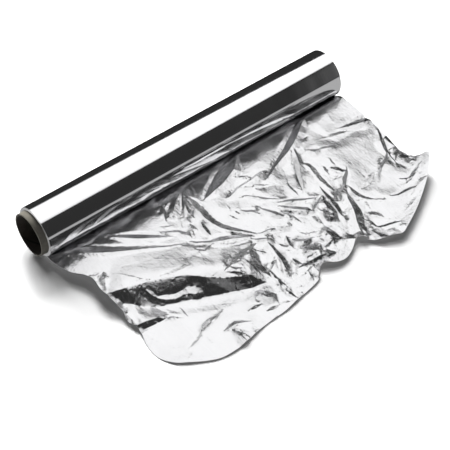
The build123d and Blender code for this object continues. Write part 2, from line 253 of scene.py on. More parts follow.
# %% [markdown]
# The floor and the card need light of their own. A weak light overhead fills the shadows. Two strong
# ones from beyond the roll draw them: where both are hidden the floor is dark, and where only one is
# hidden the shadow fades out towards the camera.

# %% Lights for the floor and the card
def studio_light(name, place, size, energy):
    """A soft rectangle of light aimed at the middle of the roll, which the metal doesn't mirror."""
    lamp = bpy.data.lights.new(name, "AREA")
    lamp.shape = "RECTANGLE"
    lamp.size, lamp.size_y = size
    lamp.energy = energy
    made = add_object(name, lamp)
    made.location = place
    made.rotation_euler = Vector(place).to_track_quat("Z", "Y").to_euler()
    made.visible_glossy = False
    print(name, energy, "W from", place)


studio_light("floor_light", place=(-0.5, 0.6, 1.3), size=(0.8, 0.9), energy=8.0)
studio_light("high_light", place=(-2.05, 1.25, 1.9), size=(1.3, 1.0), energy=130.0)
studio_light("low_light", place=(-2.7, 0.5, 1.2), size=(1.2, 0.6), energy=180.0)

# %% [markdown]
# The rest of the room is the world. The metal sees it dark where the picture needs dark facets:
# opposite the camera and above the sheet. On the other sides it has pale walls, so that the foil
# looks like foil from behind and from both ends too. Each wall is a product of smooth ramps on the
# direction in which a ray leaves.

# %% Walls of the room
world = bpy.data.worlds.new("studio")
world.use_nodes = True
bpy.context.scene.world = world
tree = world.node_tree
tree.nodes.clear()
direction = node(tree, "ShaderNodeTexCoord", {}, {}, "Generated")
towards_x, towards_y, towards_z = three_axes(tree, direction)


def ramp(value, start, end):
    """0 before start and 1 after end, smooth between; start may be the higher one."""
    sockets = {"Value": value, "From Min": start, "From Max": end, "To Min": 0.0, "To Max": 1.0}
    return node(tree, "ShaderNodeMapRange", {"interpolation_type": "SMOOTHSTEP"}, sockets)


def either(first, second):
    """1 where one of two shares is 1."""
    return 1 - (1 - first) * (1 - second)


near_wall_cut = 0.82
above = ramp(towards_z, 0.02, 0.08)
low_wall = above * ramp(towards_z, 0.44, 0.34)
high_wall = above * ramp(towards_z, 0.9, 0.7)
near_side = ramp(towards_y, 0.15, -0.25) * (1 - near_wall_cut * ramp(towards_x, -0.05, 0.25))
back_corner = ramp(towards_y, -0.2, -0.45) * ramp(towards_x, 0.15, -0.1)
far_side = ramp(towards_y, 0.5, 0.62) * ramp(towards_x, -0.25, 0.05)
print("ramps for the walls:", len(tree.nodes), "nodes")

# %% [markdown]
# The camera itself sees plain white, which is the backdrop. Light Path tells the kinds of ray apart.
# Below the horizon the metal sees a grey table on the sheet's side only: behind the roll it stays
# dark, which gives the roll the thin black line along its upper edge.

# %% World
dark_room, table_glow, wall_glow, far_glow = 0.028, 0.4, 0.85, 0.27
fill_light = 0.09
below = ramp(towards_z, 0.03, -0.03)
sheet_side = ramp(towards_x, -0.2, 0.3)
walls = wall_glow * either(low_wall * near_side, high_wall * back_corner)
walls = walls + far_glow * high_wall * far_side
seen = dark_room + table_glow * below * either(sheet_side, near_side) + walls
is_camera, is_glossy = (
    node(tree, "ShaderNodeLightPath", {}, {}, name) for name in ("Is Camera Ray", "Is Glossy Ray"))
strength = is_camera + is_glossy * seen + (1 - is_camera - is_glossy) * fill_light
sockets = {"Color": (1, 1, 1, 1), "Strength": strength}
output_node(tree, "ShaderNodeOutputWorld", node(tree, "ShaderNodeBackground", {}, sockets))
bpy.context.scene.view_settings.view_transform = "Standard"
print("world:", len(tree.nodes), "nodes")

# %% [markdown]
# ## Finishes
# Foil is rolled between polished steel rolls, which leave fine lines along the strip. On the last
# pass two strips run through together: the sides that touch the rolls come out bright, the two that
# touch each other come out matte. The lines follow the strip: on the turns they run round the roll,
# on the sheet they run away from it. A noise stretched a hundredfold makes them.
#
# The bright side mirrors sharply. Its roughness changes a little from line to line, which draws the
# edge of each reflection out into faint streaks, as on real foil.

# %% Bright side of the foil
def stretched_noise(tree, place, stretch, detail, roughness=0.5):
    """A noise whose cells are stretched: the numbers are cells per metre along x, y and z."""
    spot = node(tree, "ShaderNodeVectorMath", {"operation": "MULTIPLY"}, {0: place, 1: stretch}, "Vector")
    sockets = {"Vector": spot, "Scale": 1.0, "Detail": detail, "Roughness": roughness}
    return node(tree, "ShaderNodeTexNoise", {"noise_dimensions": "3D"}, sockets, "Fac")


def bump(tree, height, depth, strength):
    """Small relief for the Normal socket; depth is what a height of one stands for, in metres."""
    sockets = {"Height": height, "Distance": depth, "Strength": strength}
    return node(tree, "ShaderNodeBump", {}, sockets, "Normal")


def mixed_colour(tree, share, first, second):
    """A colour between two, by share."""
    factor, colour_a, colour_b, colour_out = 0, 6, 7, 2
    sockets = {factor: share, colour_a: (*first, 1), colour_b: (*second, 1)}
    return node(tree, "ShaderNodeMix", {"data_type": "RGBA", "clamp_factor": True}, sockets, colour_out)


bright_low, bright_high = (0.86, 0.86, 0.87), (0.97, 0.97, 0.98)
bright_roughness = 0.035
bright_foil, tree = new_material("bright foil")
place = object_place(tree)
rolling_lines = stretched_noise(tree, place, (9, 1500, 9), 3.0)
haze = stretched_noise(tree, place, (22, 22, 22), 4.0)
grain = stretched_noise(tree, place, (900, 1500, 900), 2.0)
tone = mixed_colour(tree, 0.6 * rolling_lines + 0.4 * haze, bright_low, bright_high)
relief = 0.7 * rolling_lines + 0.3 * grain
finish_material(tree, {"Base Color": tone, "Metallic": 1.0,
                       "Roughness": bright_roughness + 0.05 * rolling_lines + 0.05 * haze,
                       "Normal": bump(tree, relief, depth=0.00003, strength=0.25)})
print("bright side:", len(tree.nodes), "nodes")

# %% [markdown]
# The matte side is the same metal with a rougher skin. It still mirrors, but softly, and it is full
# of small wrinkles from being crushed, some as wide as a finger and some like pins. They are too
# small for the mesh, so two noises in the Bump node stand for them.

# %% Matte side of the foil
matte_low, matte_high = (0.66, 0.66, 0.67), (0.78, 0.78, 0.79)
matte_roughness = 0.15
matte_foil, tree = new_material("matte foil")
place = object_place(tree)
rolling_lines = stretched_noise(tree, place, (14, 1300, 14), 3.0)
haze = stretched_noise(tree, place, (38, 38, 38), 5.0, 0.6)
pin_wrinkles = stretched_noise(tree, place, (210, 260, 210), 4.0, 0.62)
wide_wrinkles = stretched_noise(tree, place, (80, 110, 80), 5.0, 0.68)
tone = mixed_colour(tree, 0.5 * rolling_lines + 0.5 * haze, matte_low, matte_high)
relief = 0.3 * pin_wrinkles + 0.6 * wide_wrinkles + 0.1 * rolling_lines
finish_material(tree, {"Base Color": tone, "Metallic": 1.0,
                       "Roughness": matte_roughness + 0.1 * haze + 0.05 * rolling_lines,
                       "Normal": bump(tree, relief, depth=0.001, strength=0.5)})
print("matte side:", len(tree.nodes), "nodes")

# %% [markdown]
# The tube is wound from strips of grey board, glued one over another on a slant. On its outside and
# in its bore a seam runs round as a spiral; at the ends the plies show as thin rings. Grey board is
# pulp from old paper, so it has short dark and light fibres in it.

# %% Card of the tube
full_turn = 2 * math.pi
ply = 0.00045
seam_climb = 0.075
seam_width = 0.012
card_roughness = 0.75


def card_material(name, dark, light, shift):
    """Grey board with fibres, a spiral seam, and plies that show at the ends of the tube."""
    made, tree = new_material(name)
    place = object_place(tree)
    across, along, upward = three_axes(tree, place)
    fibres = stretched_noise(tree, place, (700, 260, 700), 4.0, 0.65)
    blotches = stretched_noise(tree, place, (90, 90, 90), 3.0)
    radius = (across * across + upward * upward) ** 0.5
    rings = radius.math("SINE", radius * (full_turn / ply), 0.0)
    way = across.math("ARCTAN2", across, upward) * (1 / full_turn) + along * (1 / seam_climb) + shift
    groove = way.math("LESS_THAN", way.math("PINGPONG", way, 0.5), seam_width)
    tone = mixed_colour(tree, 0.55 * fibres + 0.35 * blotches + 0.08 * rings - 0.5 * groove, dark, light)
    relief = 0.6 * fibres + 0.25 * rings - 0.8 * groove
    finish_material(tree, {"Base Color": tone, "Roughness": card_roughness + 0.2 * fibres,
                           "Normal": bump(tree, relief, depth=0.00015, strength=0.6)})
    return made


card_dark, card_light = (0.055, 0.050, 0.040), (0.185, 0.175, 0.150)
# The bore's card is the same grey board painted darker: painted shade, since hardly any light gets into the
# bore.
bore_shade_dark, bore_shade_light = (0.010, 0.008, 0.006), (0.060, 0.048, 0.038)
card = card_material("card", card_dark, card_light, shift=0.2)
bore_shaded_card = card_material("card with painted bore shade", bore_shade_dark, bore_shade_light, shift=0.45)
print("finishes:", [finish.name for finish in (bright_foil, matte_foil, card, bore_shaded_card)])

# %% [markdown]
# ## The loose sheet
# Crushed foil is made of facets: flat or gently bowed pieces between sharp creases. The CAD frame
# holds the main facets. Here they are read back, finer creases are added, and the whole is cut into
# small triangles whose edges follow every crease, so that each crease stays crisp. A cloth
# simulation was not used: it gives soft rounded folds, and foil keeps its creases.

# %% Read the main facets from the frame
least_upward = 0.02
skin_margin = 0.5
lead_tolerance = 0.01


def read_facets(mesh):
    """The upper facets of the loose sheet, each as three corner places in millimetres."""
    corners = np.array([vertex.co for vertex in mesh.vertices]) / MM
    mesh.calc_loop_triangles()
    facets = corners[np.array([tuple(triangle.vertices) for triangle in mesh.loop_triangles])]
    across = np.cross(facets[:, 1] - facets[:, 0], facets[:, 2] - facets[:, 0])
    facing_up = across[:, 2] > least_upward * np.linalg.norm(across, axis=1)
    off_roll = np.hypot(facets[:, :, 0], facets[:, :, 2]).max(axis=1) > roll_radius + skin_margin
    return facets[facing_up & off_roll]


main_facets = read_facets(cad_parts["foil"].data)
lead_x = main_facets[:, :, 0].min()
lead_limit = lead_x + lead_tolerance
lead_z = main_facets[:, :, 2][main_facets[:, :, 0] < lead_limit].mean()
print(len(main_facets), "main facets from x", round(lead_x, 2), "lead height", round(lead_z - table_z, 2))

# %% [markdown]
# The outline is the ring of edges that belong to one facet only.

# %% Outline of the main facets
def outline_of(facets):
    """The outer ring of a set of plan triangles, as corner places in order."""
    place, used = {}, set()
    for facet in facets:
        keys = [(round(float(x), 3), round(float(y), 3)) for x, y, z in facet]
        place.update(zip(keys, facet))
        used.update((keys[i], keys[(i + 1) % 3]) for i in range(3))
    following = {a: b for a, b in used if (b, a) not in used}
    ring = [max(following, key=lambda k: k[0])]
    while following[ring[-1]] != ring[0]:
        ring.append(following[ring[-1]])
    return np.array([place[k] for k in ring])


ring = outline_of(main_facets)
print("outline:", len(ring), "corners")

# %% [markdown]
# The foil comes off the turns on a straight line, low under the roll. Three narrow strips carry the
# sheet over that line and a little way round the roll, so that no gap shows between the two pieces.

# %% Strips that join the sheet to the roll
skin_lift = 0.04
strip_angles = (20, 25, 30)
strip_radius = roll_radius + skin_lift
strip_rows = [(strip_radius * math.sin(turn), -strip_radius * math.cos(turn))
              for turn in map(math.radians, strip_angles)]
strip_rows.append((lead_x, lead_z))
strips = []
for (x0, z0), (x1, z1) in zip(strip_rows, strip_rows[1:]):
    a, b, c, d = (x0, roll_near, z0), (x1, roll_near, z1), (x1, roll_far, z1), (x0, roll_far, z0)
    strips += [(a, b, c), (a, c, d)]
base_facets = np.concatenate([np.array(strips), main_facets])
print("strips from x", round(strip_rows[0][0], 2), "to", round(lead_x, 2))

# %% [markdown]
# Cut foil has few sharp corners left after it has been handled, so the outline's corners are rounded
# by cutting each one twice. Then it is divided evenly, a millimetre or so apart, like the inside. It
# starts at the near end of the line where the foil leaves the roll, and the strips' ends close it.

# %% The sheet's finer outline
mesh_gap = 1.25
cut_share = 0.25


def cut_corners(points, rounds):
    """Round an open row of points by cutting each inner corner at a quarter of its two runs."""
    for _ in range(rounds):
        halves = [points[:1]]
        for here, there in zip(points, points[1:]):
            after, before = (share * there + (1 - share) * here for share in (cut_share, 1 - cut_share))
            halves.append(np.array([after, before]))
        points = np.concatenate(halves + [points[-1:]])
    return points


def even_points(points, gap):
    """Points at even gaps along an open row, the first and the last kept."""
    runs = np.hypot(*np.diff(points[:, :2], axis=0).T)
    travel = np.concatenate([[0], np.cumsum(runs)])
    stops = np.linspace(0, travel[-1], max(2, round(travel[-1] / gap) + 1))
    return np.stack([np.interp(stops, travel, values) for values in points.T], axis=1)


start = np.argmin(np.where(ring[:, 0] < lead_limit, ring[:, 1], np.inf))
ring = np.roll(ring, -start, axis=0)
free = ring[ring[:, 0] > lead_limit]
near_corner, far_corner = (lead_x, roll_near, lead_z), (lead_x, roll_far, lead_z)
free_edge = even_points(cut_corners(np.concatenate([[near_corner], free, [far_corner]]), 2), mesh_gap)
near_ends = np.array([(x, roll_near, z) for x, z in strip_rows[:3]])
far_ends = np.array([(x, roll_far, z) for x, z in strip_rows[2::-1]])
leave_edge = even_points(np.array([far_ends[-1], near_ends[0]]), mesh_gap)[1:-1]
outline = np.concatenate([near_ends, free_edge, far_ends, leave_edge])
print("outline points:", len(outline))

# %% [markdown]
# ### Heights of flat facets
# Every layer of shape is a set of flat plan triangles with a height at each corner. One helper
# reads the height of such a layer at any number of places at once.

# %% Read heights off a layer of facets
def facet_heights(facets, places, outside=0.0):
    """The height of a layer of facets at each plan place, and outside where no facet lies."""
    order = np.argsort(places[:, 0])
    sorted_x = places[order, 0]
    heights = np.full(len(places), outside)
    slack, least_area = 1e-4, 1e-9
    for a, b, c in facets:
        low, high = min(a[0], b[0], c[0]) - slack, max(a[0], b[0], c[0]) + slack
        first, last = np.searchsorted(sorted_x, (low, high))
        chosen = order[first:last]
        spot = places[chosen]
        area = (b[0] - a[0]) * (c[1] - a[1]) - (b[1] - a[1]) * (c[0] - a[0])
        if abs(area) < least_area:
            continue
        v = ((spot[:, 0] - a[0]) * (c[1] - a[1]) - (spot[:, 1] - a[1]) * (c[0] - a[0])) / area
        w = ((b[0] - a[0]) * (spot[:, 1] - a[1]) - (b[1] - a[1]) * (spot[:, 0] - a[0])) / area
        within = (v > -slack) & (w > -slack) & (v + w < 1 + slack)
        heights[chosen[within]] = (a[2] + v * (b[2] - a[2]) + w * (c[2] - a[2]))[within]
    return heights


middle_line = np.array([(x, 0.0) for x in range(20, 160, 20)])
middle_heights = facet_heights(base_facets, middle_line, table_z) - table_z
print("heights along the middle:", np.round(middle_heights, 1).tolist())

# %% [markdown]
# ### The long swells of the sheet
# The frame's facets carry the long forms: the high ground beside the roll, the low front corner, the
# raised far tip. Blurred over a few millimetres they become the swells that the fine creases sit on.
# Heights are kept on a millimetre grid, because a blur on a grid is quick and simple.

# %% Blurred ground under the creases
ground_gap = 1.0
ground_low = np.array([0.0, -160.0])
ground_size = (200, 330)
ground_blur = 6.5
tiny = 1e-9
ground_x, ground_y = (low + ground_gap * np.arange(size) for low, size in zip(ground_low, ground_size))
ground_places = np.array([(x, y) for x in ground_x for y in ground_y])


def blurred(field, spread):
    """A grid of heights blurred over spread cells; cells without a height take no part."""
    weight = np.isfinite(field).astype(float)
    total = np.where(weight > 0, field, 0.0)
    reach = int(3 * spread)
    kernel = np.exp(-0.5 * (np.arange(-reach, reach + 1) / spread) ** 2)
    for axis in (0, 1):
        total, weight = (
            np.apply_along_axis(np.convolve, axis, values, kernel, "same") for values in (total, weight))
    return total / np.maximum(weight, tiny)


def read_grid(field, places):
    """Heights between the grid's points, by how near a place is to the four round it."""
    spot = (places - ground_low) / ground_gap
    cell = np.clip(np.floor(spot).astype(int), 0, np.array(ground_size) - 2)
    u, v = np.clip((spot - cell).T, 0, 1)
    i, j = cell.T
    return ((1 - u) * (1 - v) * field[i, j] + u * (1 - v) * field[i + 1, j]
            + (1 - u) * v * field[i, j + 1] + u * v * field[i + 1, j + 1])


sharp_ground = facet_heights(base_facets, ground_places, np.nan).reshape(ground_size)
soft_ground = blurred(sharp_ground, ground_blur)
print("blurred ground up to", round(float(np.nanmax(soft_ground)) - table_z, 1), "mm over the table")

# %% [markdown]
# Along the rim and beside the roll the frame's own facets stay sharp, because there they meet
# something: the table's shadow on one side, the mirrored roll on the other. Elsewhere the blurred
# ground takes over: ten millimetres in from the rim nothing of the sharp facets is left.

# %% Where the frame's own facets stay sharp
rim_start, rim_every = 75, 4
rim_reach, rim_ease, rim_most = 7.0, 1.4, 0.8
lead_end, lead_fade = 32.0, 14.0
rim_line = free_edge[free_edge[:, 0] > rim_start][::rim_every, :2]


def nearest_on(line, values, places):
    """For each place: how far the nearest spot of a line is, and the line's value at that spot."""
    best = np.full(len(places), np.inf)
    found = np.zeros(len(places))
    for a, b, value, next_value in zip(line, line[1:], values, values[1:]):
        run = b - a
        along = np.clip(((places - a) @ run) / max(run @ run, tiny), 0, 1)
        apart = np.hypot(*(places - a - along[:, None] * run).T)
        nearer = apart < best
        best[nearer] = apart[nearer]
        found[nearer] = (value + along * (next_value - value))[nearer]
    return best, found


def sharpness(places):
    """1 where the frame's facets are kept as they are, 0 where they are blurred."""
    apart = nearest_on(rim_line, np.zeros(len(rim_line)), places)[0]
    rim = np.clip(rim_ease - apart / rim_reach, 0, rim_most)
    lead = np.clip((lead_end - places[:, 0]) / lead_fade, 0, 1)
    return np.maximum(rim, lead)


print("rim kept sharp over", len(rim_line), "points")

# %% [markdown]
# The ground is the two mixed, then a low swell that lifts the near corner off the table, then every
# fold that has been laid on so far. A swell is its place, its reach and its rise, in millimetres.

# %% The ground with its folds
swells = [(37, -150, 15, 2.6)]
fold_layers = []
fold_lines = []


def ground_at(places):
    """Heights over the table of the long forms."""
    keep = sharpness(places)
    soft = read_grid(soft_ground, places)
    exact = facet_heights(base_facets, places, np.nan)
    exact = np.where(np.isnan(exact), soft, exact)
    total = keep * exact + (1 - keep) * soft - table_z
    for x, y, reach, rise in swells:
        apart = np.hypot(places[:, 0] - x, places[:, 1] - y)
        total += rise * np.exp(-(apart / reach) ** 2)
    for fold in fold_layers:
        total += band_heights(fold, places)
    return total


print("swells:", len(swells))

# %% [markdown]
# ### From the picture to the sheet
# Folds and creases are marked as pixels of the photograph. A ray from the camera through
# such a pixel meets the sheet where its height is the height of the ground there.

# %% From a pixel to the sheet
picture_size = 450
half_picture = picture_size / 2
pixels_per_unit = lens_length / sensor_width * picture_size
eye = np.array(camera_place) / MM
view_right, view_up, view_back = (np.array(v) for v in (camera_right, camera_up, camera_back))


def on_sheet(pixels, heights):
    """The plan places that the camera sees at these pixels, at these heights over the table."""
    rays = (np.outer((pixels[:, 0] - half_picture) / pixels_per_unit, view_right)
            + np.outer((half_picture - pixels[:, 1]) / pixels_per_unit, view_up) - view_back)
    travel = (table_z + heights - eye[2]) / rays[:, 2]
    return (eye + rays * travel[:, None])[:, :2]


print("middle pixel:", np.round(on_sheet(np.full((1, 2), half_picture), np.zeros(1))[0], 1), "mm")

# %% [markdown]
# A fold is a band of two or three rows of marks. Between the rows the height goes straight from one
# to the next, which makes the flat steep face. Outside, it fades back to the ground over a distance
# that grows with the height of the fold, so the slope beside a fold stays gentle.

# %% Heights of a band
def band_facets(rows, rises):
    """The facets between the rows of a band, two for each pair of marks."""
    facets = []
    for upper, lower, up, down in zip(rows, rows[1:], rises, rises[1:]):
        top, bottom = np.column_stack([upper, up]), np.column_stack([lower, down])
        for i in range(len(upper) - 1):
            facets += [(top[i], top[i + 1], bottom[i + 1]), (top[i], bottom[i + 1], bottom[i])]
    return np.array(facets)


def band_heights(band, places):
    """Added heights of a band of rows: straight between the rows, fading to nothing outside."""
    rows, rises, easings, spare = band
    reach = max(easings) * max(np.abs(rise).max() for rise in rises) + spare
    every_mark = np.concatenate(rows)
    low, high = every_mark.min(axis=0) - reach, every_mark.max(axis=0) + reach
    added = np.zeros(len(places))
    near = np.where(((places > low) & (places < high)).all(axis=1))[0]
    spots = places[near]
    inside = facet_heights(band_facets(rows, rises), spots, np.nan)
    first, first_value = nearest_on(rows[0], rises[0], spots)
    last, last_value = nearest_on(rows[-1], rises[-1], spots)
    apart = np.minimum(first, last)
    value = np.where(first < last, first_value, last_value)
    easing = np.where(first < last, easings[0], easings[1])
    outside = value * np.clip(1 - apart / (easing * np.abs(value) + spare), 0, 1)
    added[near] = np.where(np.isnan(inside), outside, inside)
    return added


test_rows = [np.array([(0.0, y), (9.0, y)]) for y in (0.0, 2.0)]
test_places = np.array([(5.0, y) for y in range(1, 6)])
test_heights = band_heights((test_rows, np.ones((2, 2)), (3, 3), 0), test_places)
print("on a band of height 1 and beside it:", test_heights.round(2).tolist())

# %% [markdown]
# ### The tall step
# The biggest fold of the sheet is a step: behind it the foil stands over a centimetre off the table,
# in front of it the foil lies almost flat. Its face looks down at the table in front, so it mirrors
# the dark room and shows as one long dark band. Each mark is a pixel and a height over the table.

# %% Lay the step
def lay_fold(lines, easings, spare):
    """Bring the ground to the given heights along lines of (pixel x, pixel y, height) marks."""
    marks = [np.array(line, dtype=float) for line in lines]
    places = [on_sheet(line[:, :2], line[:, 2]) for line in marks]
    added = [line[:, 2] - ground_at(spots) for line, spots in zip(marks, places)]
    for rise in added:
        rise[[0, -1]] = 0
    fold_layers.append((places, added, easings, spare))
    for spots in places:
        fold_lines.extend((tuple(a), tuple(b)) for a, b in zip(spots, spots[1:]))


step_top = [(107, 294, 11.6), (125, 288, 13.2), (147, 282, 13.4), (165, 278.5, 13.6), (185, 275, 13.6),
            (205, 277, 12.6), (225, 278, 11.6), (250, 275, 9.6), (266, 278, 6.4)]
step_foot = [(108, 297, 10.6), (124, 303, 5.4), (143, 308, 2.6), (165, 306, 2.2), (185, 301, 2.2),
             (205, 297, 1.6), (230, 292, 1.5), (252, 288, 2.2), (267, 282, 4.6)]
lay_fold([step_top, step_foot], easings=(12.0, 5.0), spare=3.0)
print("step of", len(step_top), "by 2 marks")

# %% [markdown]
# Three lower folds shape the rest: the gentle slope at the far corner, the one from which a star of
# creases spreads beside the middle of the roll, and a ledge between the step and the front corner.

# %% Lay the lower folds
far_back = [(296, 124.5, 9), (308, 117, 10.2), (321, 109.8, 10.4), (334, 102.4, 10.4), (347, 95, 10.2),
            (356, 90, 9)]
far_front = [(325, 149, 9), (337, 142, 8.5), (350, 134.3, 8.2), (363, 127, 8.0), (377, 119.5, 7.8),
             (386, 114, 8)]
star_back = [(153, 210, 9.0), (160, 206.5, 9.5), (167, 202.7, 9.7), (181, 194.4, 9.8), (190, 189, 9.2)]
star_front = [(167, 225.5, 9.4), (174, 221.6, 9.1), (182, 217.3, 8.9), (197, 208.7, 8.9),
              (206, 203.4, 9.1)]
ledge_top = [(122, 330, 4), (133, 326, 4.6), (142, 322.8, 5.2), (150, 320, 5.2), (158, 317.3, 4.8),
             (168, 314.5, 3)]
ledge_foot = [(122, 340, 2), (137, 332.5, 2), (145, 329, 2), (153, 325.5, 2.2), (160, 322, 2.2),
              (169, 317.5, 2.4)]
lay_fold([far_back, far_front], easings=(4.0, 8.0), spare=3.0)
lay_fold([star_back, star_front], easings=(5.0, 8.0), spare=5.0)
lay_fold([ledge_top, ledge_foot], easings=(8.0, 6.0), spare=3.0)
print("folds laid:", len(fold_layers))
